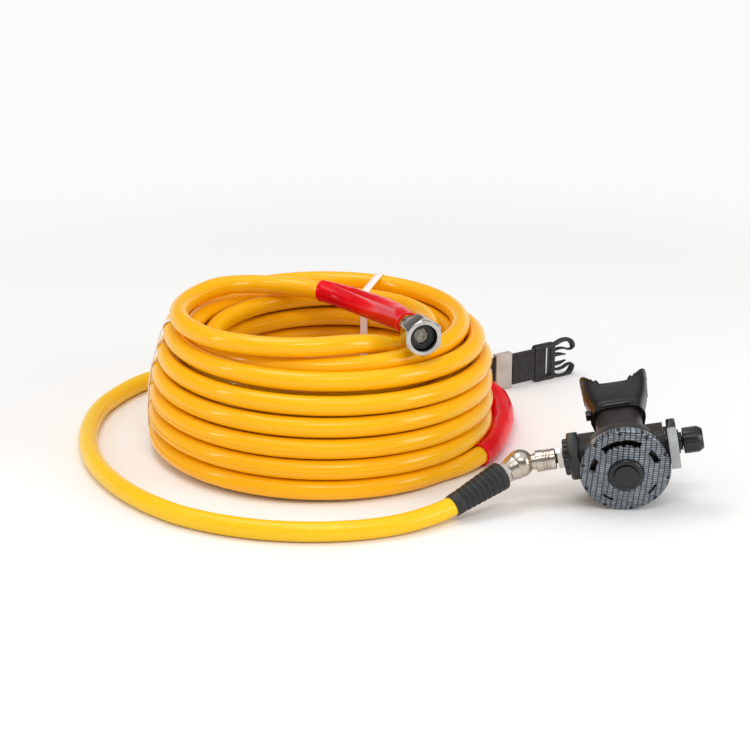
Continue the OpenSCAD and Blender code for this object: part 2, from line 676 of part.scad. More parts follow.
// The hose end's way in the regulator's frame, and the plane that the stem swings in
hose_way_here = turn_y(reg_roll, turn_x(-reg_lean, turn_z(-reg_yaw, hose_end_way)));
rest_tilt = acos(hose_way_here.x);
swing_plane = atan2(-hose_way_here.y, hose_way_here.z);
most_tilt = rest_tilt + 5;
slot_end = 24;
module swing_slot() {
  ways = [for (k = [0 : 6]) let (t = -slot_end + (most_tilt + 2 * slot_end) * k / 6) [sin(t), -cos(t)]];
  rotate([0, 0, swing_plane]) rotate([90, 0, 0])
    linear_extrude(height = stem_od + 0.6, center = true) polygon(concat([[0, 0]], 20 * ways));
}
module swivel_housing() {
  color(chrome) ball_frame(0) difference() {
    union() {
      difference() {
        sphere(r = shell_r, $fn = 96);
        translate([0, 0, -2 * shell_r]) cylinder(r = 2 * shell_r, h = 2 * shell_r);
      }
      cylinder(d = coupler_body_od, h = neck_end);
      translate([0, 0, neck_end - 1]) cylinder(d = 8.6, h = 5);
    }
    sphere(r = cavity_r, $fn = 96);
    cylinder(r = 1.8, h = 60);
  }
}
neck_end = 12.8;
module swivel_cap() {
  color(chrome) ball_frame(0) difference() {
    intersection() {
      sphere(r = shell_r, $fn = 96);
      translate([0, 0, -2 * shell_r - 0.02]) cylinder(r = 2 * shell_r, h = 2 * shell_r);
    }
    sphere(r = cavity_r, $fn = 96);
    swing_slot();
  }
}

// Quick coupler. Distances along the barrel are counted from the ball's centre.
body_length = 14.6;
plug_face = swivel_reach - 47 - plug_hex_length;
module coupler_body() {
  color(chrome) ball_frame(neck_end) difference() {
    union() {
      cylinder(d = coupler_body_od, h = body_length);
      cylinder(r = spring_room_r - running_gap, h = shoulder_length);
    }
    translate([0, 0, -1]) cylinder(d = 8.7, h = 5.2);
    translate([0, 0, 4]) cylinder(r = 1.8, h = 30);
    translate([0, 0, 5.2]) cylinder(d = plug_od + 2 * running_gap, h = 30);
    for (i = [0 : lock_balls - 1]) rotate(360 / lock_balls * i) translate([0, 0, ball_row - neck_end])
        rotate([0, 90, 0])
      cylinder(d = lock_ball_od + 0.1, h = 20, $fn = 32);
  }
}
ball_row = neck_end + 10.4;
lock_ball_at = (coupler_body_od - lock_ball_od) / 2 - 0.1;
module coupler_balls() {
  color(steel) ball_frame(ball_row)
    for (i = [0 : lock_balls - 1]) rotate(360 / lock_balls * i) translate([lock_ball_at, 0, 0])
        sphere(d = lock_ball_od, $fn = 24);
}
module coupler_retainer() {
  color(steel) ball_frame(neck_end + body_length - 1) ring(coupler_sleeve_od / 2 - 0.9,
      coupler_body_od / 2 + 0.02, 0.8);
}
sleeve_start = neck_end + 0.3;
shoulder_length = 2.2;
spring_room_r = coupler_body_od / 2 + 0.8;
spring_room_end = 8;
module coupler_sleeve() {
  bore = coupler_body_od + 2 * running_gap;
  ridge = 0.35;
  color(chrome) ball_frame(sleeve_start) difference() {
    union() {
      cylinder(d = coupler_sleeve_od - 2 * ridge, h = coupler_sleeve_length);
      for (z = [0.6, 3.8, 11.2]) translate([0, 0, z]) cylinder(d = coupler_sleeve_od, h = 2.2);
      translate([0, 0, 6.5]) fluted(coupler_sleeve_od, 4, 36, 0.6, 0.35);
    }
    translate([0, 0, -1]) cylinder(d = bore, h = 60);
    translate([0, 0, coupler_sleeve_length - 3]) cylinder(d = coupler_sleeve_od - 1.6, h = 10);
    translate([0, 0, -1]) cylinder(r = spring_room_r, h = spring_room_end + 1);
  }
}
module coupler_spring() {
  start = neck_end + shoulder_length + 0.1;
  color(steel) ball_frame(start) ring(spring_room_r - 0.1, coupler_body_od / 2 + 0.08, sleeve_start
      + spring_room_end - 0.1 - start);
}
module coupler_plug() {
  nose = 8.6;
  color(chrome) ball_frame(plug_face) difference() {
    union() {
      translate([0, 0, -nose]) cylinder(d = plug_od, h = nose + 0.1);
      hexagon(plug_hex_af, plug_hex_length);
      translate([0, 0, plug_hex_length]) cylinder(d = barrel_bore - 0.2, h = 13);
    }
    translate([0, 0, -nose - 1]) cylinder(r = 1.8, h = 60);
    translate([0, 0, ball_row - plug_face]) rotate_extrude() translate([plug_od / 2, 0])
        circle(d = 1.5, $fn = 24);
    translate([0, 0, plug_hex_length + 8]) ring(20, barrel_bore / 2 - 1.2, 1.8);
  }
}
module plug_seal() {
  color(black) ball_frame(plug_face + plug_hex_length + 8.1)
      ring(barrel_bore / 2 - 0.1, barrel_bore / 2 - 1.1, 1.6);
}

// Collars at both ends of the case
barrel_left = -46.5;
lever_start = cover_radius + 0.4;
collar_end = lever_start + lever_width;
barrel_right = collar_end + 0.1;
module cover_clearance() {
  reg_frame() along_y(-8) cylinder(r = cover_radius + 0.3, h = cover_skirt + 8.3);
}
module side_collar_body(l) {
  r = side_collar_af / 2;
  corner = r / cos(30);
  intersection() {
    hexagon(side_collar_af, l);
    rotate_extrude() polygon([[0, 0], [r - 1, 0], [corner, 3], [corner, l - 2], [r - 0.5, l], [0, l]]);
  }
}
module inlet_collar() {
  r = inlet_nut_od / 2;
  start = -boss_reach - face_gap - side_collar_length;
  color(black) difference() {
    union() {
      barrel_frame(start) side_collar_body(side_collar_length);
      barrel_frame(start - inlet_nut_length) intersection() {
        fluted(inlet_nut_od, inlet_nut_length + 0.5, nut_flutes, 3, 1);
        cylinder(r1 = r - 1.2, r2 = r + 4, h = inlet_nut_length + 0.5);
      }
    }
    barrel_frame(-60) cylinder(d = barrel_od + 2 * fit_gap, h = 60);
    barrel_frame(plug_face + plug_hex_length - swivel_reach - 10)
        cylinder(d = plug_hex_af / cos(30) + 0.5, h = 10 + face_gap);
    cover_clearance();
  }
}
module right_collar() {
  color(black) difference() {
    barrel_frame(boss_reach + face_gap)
        cylinder(d = boss_height, h = lever_start - boss_reach - 2 * face_gap);
    barrel_frame(0) cylinder(d = barrel_od + 2 * fit_gap, h = 60);
    cover_clearance();
  }
}
// The dive lever turns on the barrel: a six-sided collar with the grey lever over its front
module dive_collar() {
  color(black) barrel_frame(lever_start) difference() {
    side_collar_body(lever_width);
    translate([0, 0, -1]) cylinder(d = barrel_od + 2 * running_gap, h = 60);
  }
}
module dive_lever() {
  r = side_collar_af / 2;
  side = lever_height / 2;
  color(grey) barrel_frame(lever_start) {
    difference() {
      intersection() {
        hexagon(side_collar_af + 2 * lever_thickness, lever_width);
        translate([-side, -r - 5, 0]) cube([2 * side, r + 3, lever_width]);
      }
      translate([0, 0, -1]) hexagon(side_collar_af, lever_width + 2);
    }
  }
}

// Valve barrel and what runs in it
module valve_barrel() {
  slot_x = lever_pivot_x - 3;
  barrel_length = barrel_right - barrel_left;
  color(brass) reg_frame() translate([0, barrel_back, barrel_up]) difference() {
    union() {
      rotate([0, 90, 0]) translate([0, 0, barrel_left]) cylinder(d = barrel_od, h = barrel_length);
      for (s = [-1, 1]) translate([lever_pivot_x - 2, pivot_y - barrel_back - 1.8, s * 5.4 - 0.9])
          cube([4, 5, 1.8]);
    }
    rotate([0, 90, 0]) translate([0, 0, barrel_left - 1]) cylinder(d = barrel_bore, h = barrel_length
        + 2);
    translate([slot_x, -12, -4.3]) cube([8, 12, 8.6]);
    translate([lever_pivot_x, pivot_y - barrel_back, -10]) cylinder(d = lever_pin_od, h = 20, $fn = 32);
    for (a = [60, 120, 240, 300]) rotate([a, 0, 0]) translate([-14, 0, 0])
        cylinder(d = 3, h = 10, $fn = 24);
  }
}
lever_pivot_x = 12;
pivot_y = barrel_back - barrel_od / 2 - 1.2;
module lever_pin() {
  color(steel) reg_frame() translate([lever_pivot_x, pivot_y, barrel_up - 6.2])
      cylinder(d = lever_pin_od - 0.02, h = 12.4, $fn = 32);
}
module inlet_orifice() {
  color(chrome) barrel_frame(-30.5) difference() {
    union() {
      cylinder(d = barrel_bore - 0.1, h = 5);
      cylinder(d = 6, h = 7);
    }
    translate([0, 0, -1]) cylinder(d = 4, h = 20);
  }
}
seat_x = -23.4;
module poppet_seat() { color(black) barrel_frame(seat_x) cylinder(d = 7, h = 1.6); }
module poppet() {
  flange_x = lever_pivot_x + 0.7;
  color(silicone) barrel_frame(0) difference() {
    union() {
      translate([0, 0, seat_x + 0.3]) cylinder(d = poppet_od, h = 24);
      cylinder(d = poppet_stem_od, h = flange_x + 1);
      translate([0, 0, flange_x]) cylinder(d = poppet_od, h = 1.6);
      translate([0, 0, flange_x + 1.5]) cylinder(d = poppet_stem_od, h = 4);
    }
    translate([0, 0, seat_x]) cylinder(d = 7.2, h = 1.7);
    for (a = [0 : 90 : 270]) rotate(a) translate([poppet_od / 2, 0, seat_x + 4])
        cylinder(d = 2.4, h = 18, $fn = 24);
  }
}
module poppet_spring() {
  color(steel) barrel_frame(lever_pivot_x + 2.5) ring(barrel_bore / 2 - 0.6, poppet_stem_od / 2 + 0.4,
      pad_x - lever_pivot_x - 2.6);
}
pad_x = lever_pivot_x + 12.2;
module spring_pad() {
  color(brass) barrel_frame(pad_x) difference() {
    cylinder(d = barrel_bore - 2 * running_gap, h = 8);
    translate([0, 0, 2]) cylinder(d = 5, h = 10);
  }
}
knob_start = collar_end + 4.2;
module knob_gland() {
  color(black) barrel_frame(barrel_right + 0.1) difference() {
    union() {
      cylinder(d = gland_od, h = knob_start - barrel_right - 0.6);
      cylinder(d = gland_od + 5, h = 1.2);
    }
    translate([0, 0, -1]) cylinder(d = knob_stem_od + 2 * running_gap, h = 40);
  }
}
module adjust_knob() {
  stem_start = pad_x + 10.5;
  color(black) barrel_frame(knob_start) {
    difference() {
      intersection() {
        fluted(knob_od, knob_length, knob_flutes, 2, 0.9);
        rotate_extrude() polygon([[0, 0], [knob_od / 2 - 0.8, 0], [knob_od / 2, 0.8],
            [knob_od / 2, knob_length - 4],
          [knob_od / 2 - 2.5, knob_length], [0, knob_length]]);
      }
      translate([0, 0, knob_length - 1.2]) cylinder(d = knob_od - 9, h = 5);
    }
    translate([0, 0, stem_start - knob_start]) cylinder(d = knob_stem_od, h = knob_start - stem_start
        + 1);
    translate([0, 0, pad_x + 4.3 - knob_start]) cylinder(d = 4.6, h = 8, $fn = 32);
  }
}

// Case, with its bosses, mouth tube and exhaust ports
case_front = cover_skirt + fit_gap;
lip_front = 5.5;
module case_outside() {
  r = case_radius;
  along_y(0) rotate_extrude() polygon([[0, lip_front], [r - 1.1, lip_front], [r - 1.1, case_front],
      [r, case_front],
    [r, case_depth - 7], [r - 2, case_depth - 2], [r - 7, case_depth + 3], [0, case_depth + 5]]);
}
module case_inside() {
  r = case_radius - case_wall;
  along_y(0) rotate_extrude() polygon([[0, 5], [r, 5], [r, case_depth - 7.5], [r - 2, case_depth - 4],
    [r - 6, case_depth + 3 - case_wall], [0, case_depth + 5 - case_wall]]);
}
exhaust_down = 22;
exhaust_r = 6.5;
exhaust_seat = case_depth + 5.2;
module regulator_case() {
  color(carbon) difference() {
    union() {
      reg_frame() case_outside();
      reg_frame() along_y(case_depth) translate([0, exhaust_down, 0])
          cylinder(r = exhaust_r, h = exhaust_seat - case_depth);
      reg_frame() translate([-boss_reach, barrel_back - boss_depth / 2, barrel_up - boss_height / 2])
        cube([2 * boss_reach, boss_depth, boss_height]);
      mouth_frame(0) linear_extrude(height = tube_length) oval(tube_width, tube_height);
    }
    reg_frame() case_inside();
    barrel_frame(-60) cylinder(d = barrel_od + 2 * fit_gap, h = 120);
    mouth_frame(-2) linear_extrude(height = tube_length + 10)
        oval(tube_width - 2 * tube_wall, tube_height - 2 * tube_wall);
    reg_frame() along_y(case_depth - 4) translate([0, exhaust_down, 0]) for (a = [0 : 60 : 300]) rotate(a)
      translate([4, 0, 0]) cylinder(d = 3, h = 20, $fn = 24);
  }
}
module exhaust_valve() {
  color(silicone) reg_frame() along_y(exhaust_seat) translate([0, exhaust_down, 0])
      cylinder(r = exhaust_r, h = 0.8);
}
tee_wall = 1.6;
module tee_chamber(grow, back) {
  half = exhaust_r + 1.6 + grow;
  low = 1.5 - case_radius;
  reg_frame() translate([-half, case_depth - 1, low])
      cube([2 * half, back - case_depth + 1, half - exhaust_down - low]);
}
module exhaust_tee() {
  r = case_radius;
  color(black) difference() {
    union() {
      reg_frame() along_y(0) rotate([0, 0, 90 - tee_angle / 2]) rotate_extrude(angle = tee_angle)
        polygon([[r + face_gap, 17], [r + 3, 17], [tee_radius - 1.2, tee_back - 6],
            [tee_radius, tee_back - tee_round],
          [tee_radius - 1.4, tee_back], [r - 14, tee_back], [r - 14, case_depth + 3],
              [r + face_gap, case_depth - 3]]);
      tee_chamber(tee_wall, tee_back);
    }
    reg_frame() along_y(0) rotate([0, 0, 89 - tee_angle / 2]) rotate_extrude(angle = tee_angle + 2)
      polygon([[r - 12, case_depth + 4], [r + 1, case_depth - 3], [r + 2.4, case_depth - 5],
          [tee_radius - 2.8, tee_back - 5],
        [tee_radius - 3, tee_back - tee_wall], [r - 12, tee_back - tee_wall]]);
    tee_chamber(0, tee_back - tee_wall - 0.4);
    reg_frame() case_outside();
    reg_frame() translate([-60, barrel_back - boss_depth / 2 - 1, barrel_up - boss_height / 2 - 0.2])
        cube([120, boss_depth + 1.2, 60]);
    barrel_frame(-60) cylinder(d = side_collar_af / cos(30) + 0.6, h = 60);
    barrel_frame(cover_radius - 4) cylinder(d = (side_collar_af + 2 * lever_thickness) / cos(30) + 0.8,
        h = 60);
  }
}

// Cover, purge button and diaphragm
module front_cover() {
  hole = purge_od / 2 + 0.3;
  r = cover_radius;
  t = 2;
  color(carbon) reg_frame() difference() {
    along_y(0) rotate_extrude()
        polygon([[hole, -cover_dome], [hole + 1.8, -cover_dome - 0.8], [hole + 3.4, -cover_dome + 0.2],
      [r - 4.5, -0.8], [r - cover_chamfer, 0], [r, cover_chamfer], [r, cover_skirt],
          [case_radius - 0.8, cover_skirt],
      [case_radius - 0.8, 2.6], [r - 6, 2.2], [hole + 3.4, -cover_dome + t + 0.2],
          [hole, -cover_dome + t]]);
    along_y(-cover_dome - 3) {
      rotate(180) arc_slot(slot_radius + 0.5, wide_slot, 34, cover_dome + 5);
      for (a = [-66, 66]) rotate(180 + a) arc_slot(slot_radius, wide_slot, 13, cover_dome + 5);
      for (a = [-140, 134]) rotate(180 + a) arc_slot(slot_radius, 2.2, 11, cover_dome + 5);
      for (i = [0 : rim_notches - 1]) rotate(360 / rim_notches * i) translate([0, -r + 2.1, 0])
          cylinder(d = 3, h = cover_dome + 4, $fn = 24);
    }
  }
}
button_back = 2.2;
bridge_y = 2;
bridge_thickness = 0.8;
module purge_button() {
  r = purge_od / 2;
  flange_y = -cover_dome + 2.4;
  skirt_end = bridge_y - purge_travel - 0.2;
  color(black) reg_frame() along_y(0) rotate_extrude()
      polygon([[0, -cover_dome - 2.2], [r - 4, -cover_dome - 1.9], [r - 3.2, -cover_dome - 2.4],
    [r - 1.2, -cover_dome - 2], [r, -cover_dome - 0.8], [r, flange_y], [r + 1.4, flange_y],
        [r + 1.4, skirt_end],
    [r - 1.6, skirt_end], [r - 1.6, -cover_dome + 0.6],
    [6, -cover_dome + 0.4], [6, button_back], [0, button_back]]);
}
module purge_badge() {
  color(black) reg_frame() along_y(-cover_dome - 3) cylinder(d = purge_od - 9.4, h = 0.75);
}
// A spider between the cover and the diaphragm's ring, that the purge spring stands on
module spring_bridge() {
  color(black) reg_frame() along_y(bridge_y) {
    ring(10, 7.4, bridge_thickness);
    ring(cover_radius - 6.8, cover_radius - 9, bridge_thickness);
    for (a = [30, 150, 270]) rotate(a) translate([9, -1.5, 0])
        cube([cover_radius - 17, 3, bridge_thickness]);
  }
}
module purge_spring() {
  color(steel) reg_frame() along_y(-cover_dome + 0.6) ring(9.4, 7.6, cover_dome - 0.6 + bridge_y - 0.1);
}
ring_y = 2.9;
module diaphragm_ring() {
  color(silicone) reg_frame() along_y(ring_y) ring(case_radius - 1.2, case_radius - 6, 1.4);
}
diaphragm_y = ring_y + 1.5;
module diaphragm() {
  color(silicone) reg_frame() along_y(diaphragm_y) rotate_extrude()
      polygon([[plate_r - 1.2, 0.1], [plate_r + 1, 0.1], [plate_r + 4, -1.0],
    [plate_r + 7, 0.1], [case_radius - 7, 0.1], [case_radius - 6.5, 0], [case_radius - 1, 0],
        [case_radius - 1, 1],
    [case_radius - 6.5, 1], [case_radius - 7, 0.9], [plate_r + 7, 0.9], [plate_r + 4, -0.2],
        [plate_r + 1, 0.9], [plate_r - 1.2, 0.9]]);
}
plate_r = 15;
module diaphragm_plate() {
  color(black) reg_frame() along_y(diaphragm_y) {
    translate([0, 0, -1.9]) cylinder(r = 7, h = 2);
    cylinder(r = plate_r - 1.3, h = 1);
  }
}
module demand_lever() {
  tip_x = -2;
  tip_y = diaphragm_y + 1.3;
  reach = [tip_x - lever_pivot_x, tip_y + 0.4 - pivot_y];
  color(steel) reg_frame() translate([lever_pivot_x, pivot_y, barrel_up]) difference() {
    union() {
      translate([0, 0, -4]) cylinder(d = 3, h = 8, $fn = 32);
      rotate([0, 0, atan2(reach.y, reach.x)]) translate([0, -0.4, -3]) cube([norm(reach), 0.8, 6]);
      for (s = [-1, 1]) translate([-0.4, 0, s * 2.6 - 0.6]) cube([0.8, barrel_od / 2 + 1.4, 1.2]);
    }
    translate([0, 0, -10]) cylinder(d = lever_pin_od + 2 * running_gap, h = 20, $fn = 32);
  }
}

// Mouthpiece: a neck on the mouth tube, widening into two wings with bite tabs
neck_start = tube_length - 13;
neck_length = 7;
mouth_bore_width = 26;
mouth_bore_height = 15;
bite_tab_x = mouth_bore_width / 2 + 2;
module mouthpiece() {
  t = mouthpiece_wall;
  wing_start = neck_start + 24;
  wing_end = neck_start + mouthpiece_length;
  color(black) difference() {
    union() {
      mouth_frame(neck_start) linear_extrude(height = neck_length) oval(tube_width + 2 * t, tube_height
          + 2 * t);
      hull() {
        mouth_frame(neck_start + neck_length - 0.1) linear_extrude(height = 1)
            oval(tube_width + 2 * t, tube_height + 2 * t, $fn = 32);
        mouth_frame(wing_start) linear_extrude(height = 1) oval(wing_width - 6, wing_height, $fn = 32);
        for (s = [-1, 1]) mouth_frame(wing_end - 1.2) translate([s * (wing_width / 2 - 2.2), 0, 0])
          linear_extrude(height = 1) rotate(90) oval(wing_height - 6, 4.4, $fn = 24);
      }
    }
    mouth_frame(0) linear_extrude(height = tube_length + 0.3) oval(tube_width + 0.2, tube_height + 0.2);
    mouth_frame(0) linear_extrude(height = wing_end) oval(mouth_bore_width, mouth_bore_height);
    mouth_frame(wing_end + 8) rotate([90, 0, 0]) cylinder(r = wing_width / 2 - 1, h = 80, center = true,
        $fn = 96);
  }
  color(black) for (s = [-1, 1]) mouth_frame(wing_start + 13) translate([s * bite_tab_x, 0, 0])
      cube([3.4, 10, 16], center = true);
}
module mouthpiece_tie() {
  t = mouthpiece_wall;
  color(black) {
    mouth_frame(neck_start + 1.5) difference() {
      linear_extrude(height = mouth_tie_width) oval(tube_width + 2 * t + 2.4, tube_height + 2 * t + 2.4);
      translate([0, 0, -1]) linear_extrude(height = mouth_tie_width + 2)
          oval(tube_width + 2 * t + 0.1, tube_height + 2 * t + 0.1);
    }
    mouth_frame(neck_start + 0.5) translate([-tube_width / 2 - t - 4.4, -9, 0]) cube([4.6, 6, 6]);
  }
}

// Belt: webbing with a keeper, the two halves of a side-release buckle
module webbing_strip(pts) {
  half = webbing_thickness / 2;
  n = len(pts);
  function normal(i) = let (w = unit(pts[min(i + 1, n - 1)] - pts[max(i - 1, 0)])) [-w.y, w.x];
  translate([0, 0, webbing_lift]) linear_extrude(height = webbing_width) polygon(concat(
    [for (i = [0 : n - 1]) pts[i] + half * normal(i)], [for (i = [n - 1 : -1 : 0])
        pts[i] - half * normal(i)]));
}
function belt_point(v) = keeper_place + [v.x * cos(belt_yaw) - v.y * sin(belt_yaw), v.x * sin(belt_yaw)
    + v.y * cos(belt_yaw)];
block_webbing_y = block_place.y + webbing_y + webbing_thickness / 2;
frame_start = keeper_length / 2 + frame_from_keeper;
// The webbing goes through the keeper, round the outside of the coil, then straight behind the check valve.
webbing_in_keeper = [20, -14];
webbing_round_coil = [[149, 127], [139, 138], [126, 153], [111, 168], [94, 182]];
webbing_behind = [76, 58, -44];
webbing_in_frame = 7;
module belt_webbing() {
  color(webbing_black) from_base() webbing_strip(concat([belt_point([frame_start + webbing_in_frame, 0])],
    [for (x = webbing_in_keeper) belt_point([x, 0])], webbing_round_coil,
    [[webbing_behind[0], block_webbing_y - 2]], [for (i = [1, 2]) [webbing_behind[i], block_webbing_y]]));
}
module belt_keeper() {
  color(grey) belt_frame() difference() {
    translate([-keeper_length / 2, -3.2, (buckle_height - keeper_height) / 2])
        cube([keeper_length, 6.4, keeper_height]);
    translate([-keeper_length, -webbing_thickness / 2 - 0.25, webbing_lift - 0.3])
      cube([2 * keeper_length, webbing_thickness + 0.5, webbing_width + 0.6]);
  }
}
module buckle_male() {
  h = buckle_height;
  f = buckle_frame;
  color(black) belt_frame() translate([frame_start, 0, 0]) difference() {
    union() {
      translate([0, buckle_thickness / 2, 0]) rotate([90, 0, 0])
          linear_extrude(height = buckle_thickness) difference() {
        square([f, h]);
        translate([11, 5]) square([4.6, h - 10]);
        translate([f + 3, h / 2]) circle(r = 5);
      }
      translate([0, buckle_thickness / 2 - 1.5, 0]) rotate([90, 0, 0])
          linear_extrude(height = buckle_thickness - 3) {
        translate([f - 4, h / 2 - 2.2]) square([prong_length, 4.4]);
        for (s = [-1, 1]) translate([0, h / 2 + s * (h / 2 - 6.6)]) difference() {
          union() {
            translate([f - 1, -4.5]) square([prong_length - 5, 9]);
            translate([f + prong_length - 7, 0]) circle(r = 6.5);
          }
          translate([f + 3, -1.6]) square([prong_length - 12, 3.2]);
          translate([f + prong_length - 8, 0]) circle(r = 2.6);
        }
      }
    }
    translate([-1, -webbing_thickness / 2 - 0.2, webbing_lift - 0.3])
        cube([9, webbing_thickness + 0.4, webbing_width + 0.6]);
  }
}
// Socket for the prongs, open at its far end and at its sides
socket_wall = 2;
socket_end = 14;
socket_window = 14;
module buckle_female() {
  t = socket_depth;
  inside = t - 2 * socket_wall;
  color(black) from_base() translate([webbing_behind[2] + webbing_in_frame, block_webbing_y, 0])
    rotate([0, 0, 180]) difference() {
      translate([0, -t / 2, 0]) cube([socket_length, t, buckle_height + 2 * socket_wall]);
      translate([socket_end, -inside / 2, socket_wall]) cube([socket_length, inside, buckle_height]);
      for (z = [-1, buckle_height - 2]) translate([socket_end + 8, -inside / 2, z])
        cube([socket_window, inside, 8]);
      translate([-1, -webbing_thickness / 2 - 0.2, webbing_lift - 0.3])
        cube([webbing_in_frame + 1.5, webbing_thickness + 0.4, webbing_width + 0.6]);
    }
}

supply_hose();
supply_core();
upper_sleeve();
lower_sleeve();
upper_tail_piece();
lower_tail_piece();
supply_nut();
inlet_gasket();
inlet_screen();
coil_tie_left();
coil_tie_back();
whip_hose();
whip_tail_piece();
hose_boot();
hose_end_fitting();
swivel_stem();
swivel_housing();
swivel_cap();
coupler_body();
coupler_balls();
coupler_retainer();
coupler_spring();
coupler_sleeve();
coupler_plug();
plug_seal();
inlet_collar();
valve_barrel();
inlet_orifice();
regulator_case();
front_cover();
purge_button();
purge_badge();
spring_bridge();
purge_spring();
diaphragm_ring();
diaphragm();
diaphragm_plate();
demand_lever();
lever_pin();
poppet();
poppet_seat();
poppet_spring();
spring_pad();
knob_gland();
adjust_knob();
right_collar();
dive_collar();
dive_lever();
exhaust_valve();
exhaust_tee();
mouthpiece();
mouthpiece_tie();
belt_webbing();
belt_keeper();
buckle_male();
buckle_female();
check_body();
check_poppet();
check_spring();
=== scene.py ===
# A surface-supplied breathing set: coiled supply hose, whip hose, second-stage regulator and belt.
import json
import math

import bmesh
import bpy
from mathutils import Matrix, Vector, noise


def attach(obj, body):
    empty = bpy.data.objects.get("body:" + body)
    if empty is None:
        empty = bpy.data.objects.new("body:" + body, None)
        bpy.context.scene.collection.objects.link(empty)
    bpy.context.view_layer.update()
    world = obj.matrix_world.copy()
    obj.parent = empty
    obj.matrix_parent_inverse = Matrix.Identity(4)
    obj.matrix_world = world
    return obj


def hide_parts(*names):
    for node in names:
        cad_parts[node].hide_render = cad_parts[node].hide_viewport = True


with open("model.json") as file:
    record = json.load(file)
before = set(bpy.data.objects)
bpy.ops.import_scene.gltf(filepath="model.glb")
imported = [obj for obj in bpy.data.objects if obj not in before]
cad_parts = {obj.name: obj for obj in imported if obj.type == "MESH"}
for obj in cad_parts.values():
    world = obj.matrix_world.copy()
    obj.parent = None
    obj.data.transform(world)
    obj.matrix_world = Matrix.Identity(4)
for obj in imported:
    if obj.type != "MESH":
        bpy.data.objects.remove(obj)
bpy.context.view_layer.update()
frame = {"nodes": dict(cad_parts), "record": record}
nodes = frame["nodes"]
record = frame["record"]
bodyOf = {n: body for body, members in record["behaviour"]["bodies"].items() for n in members}
print("frame loaded:", len(nodes), "nodes")

# Places are in millimetres from the middle of the coil. rowPoint takes them to the row's frame, in metres.
rowOrigin = Vector((115.3, 15.8, 0))


def rowPoint(p):
    return (Vector(p) - rowOrigin) / 1000


def turned(axis, degrees):
    return Matrix.Rotation(math.radians(degrees), 4, axis)


def lookUp(table, t):
    for (t0, v0), (t1, v1) in zip(table, table[1:]):
        if t <= t1:
            return v0 + (v1 - v0) * max(0, t - t0) / (t1 - t0)
    return table[-1][1]


def smoothStep(low, high, v):
    t = min(1, max(0, (v - low) / (high - low)))
    return t * t * (3 - 2 * t)


# Camera
cameraLook = {"lens": 96, "place": (48.13, -1633, 640), "down": 19.5}
camera = bpy.data.objects.new("camera", bpy.data.cameras.new("camera"))
bpy.context.scene.collection.objects.link(camera)
camera.data.lens = cameraLook["lens"]
camera.data.sensor_width = 36
camera.location = rowPoint(cameraLook["place"])
camera.rotation_euler = (math.radians(90 - cameraLook["down"]), 0, 0)
bpy.context.scene.camera = camera
bpy.context.scene.view_settings.view_transform = "Standard"

# The regulator's own frame: X along the valve barrel to the knob, Y towards the mouth, Z up, in millimetres
regulator = {"place": (247.7, -157, 35.8985), "yaw": -2.5, "lean": 8.7, "roll": 10.4, "barrelBack": 19.5,
             "barrelUp": 9.2, "swivelReach": 83, "mouthRise": 11, "mouthRoot": (0, 22, 10)}
toMetres = Matrix.Diagonal((0.001, 0.001, 0.001, 1))
fromCoil = toMetres @ Matrix.Translation(-rowOrigin)
regulatorFrame = (fromCoil @ Matrix.Translation(regulator["place"]) @ turned("Z", regulator["yaw"])
                  @ turned("X", regulator["lean"]) @ turned("Y", -regulator["roll"]))
barrelFrame = regulatorFrame @ Matrix.Translation((0, regulator["barrelBack"], regulator["barrelUp"])) @ turned("Y", 90)
mouthFrame = regulatorFrame @ Matrix.Translation(regulator["mouthRoot"]) @ turned("X", regulator["mouthRise"] - 90)
ballPlace = fromCoil.inverted() @ (barrelFrame @ Vector((0, 0, -regulator["swivelReach"])))


# Objects and selection
def deselectAll():
    if bpy.context.object and bpy.context.object.mode != "OBJECT":
        bpy.ops.object.mode_set(mode="OBJECT")
    for o in list(bpy.context.selected_objects):
        o.select_set(False)


def pick(o):
    deselectAll()
    o.select_set(True)
    bpy.context.view_layer.objects.active = o


def smoothByAngle(o, degrees):
    pick(o)
    bpy.ops.object.shade_smooth_by_angle(angle=math.radians(degrees))


def linkMesh(name, made):
    mesh = bpy.data.meshes.new(name)
    made.to_mesh(mesh)
    made.free()
    o = bpy.data.objects.new(name, mesh)
    bpy.context.scene.collection.objects.link(o)
    return o


def finishPiece(o, material, body, replaced=()):
    o.data.materials.clear()
    o.data.materials.append(material)
    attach(o, body)
    if replaced:
        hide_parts(*replaced)
    return o


def standFor(o, finish, node):
    finishPiece(o, materials[finish], bodyOf[node], (node,))


def applyModifier(o, kind, **settings):
    pick(o)
    modifier = o.modifiers.new(kind.lower(), kind)
    for name, value in settings.items():
        setattr(modifier, name, value)
    bpy.ops.object.modifier_apply(modifier=modifier.name)


# Materials
def linear(colour):
    parts = [int(colour[i:i + 2], 16) / 255 for i in (1, 3, 5)]
    return [c / 12.92 if c <= 0.04045 else ((c + 0.055) / 1.055) ** 2.4 for c in parts] + [1]


def addNode(tree, kind, settings=None, links=None):
    added = tree.nodes.new(kind)
    for name, value in (settings or {}).items():
        if name == "stops":
            ramp = added.color_ramp
            while len(ramp.elements) < len(value):
                ramp.elements.new(0.5)
            for element, (place, colour) in zip(ramp.elements, value):
                element.position = place
                element.color = linear(colour)
        elif isinstance(name, int) or name in added.inputs:
            added.inputs[name].default_value = value
        else:
            setattr(added, name, value)
    for name, source in (links or {}).items():
        tree.links.new(source, added.inputs[name])
    return added


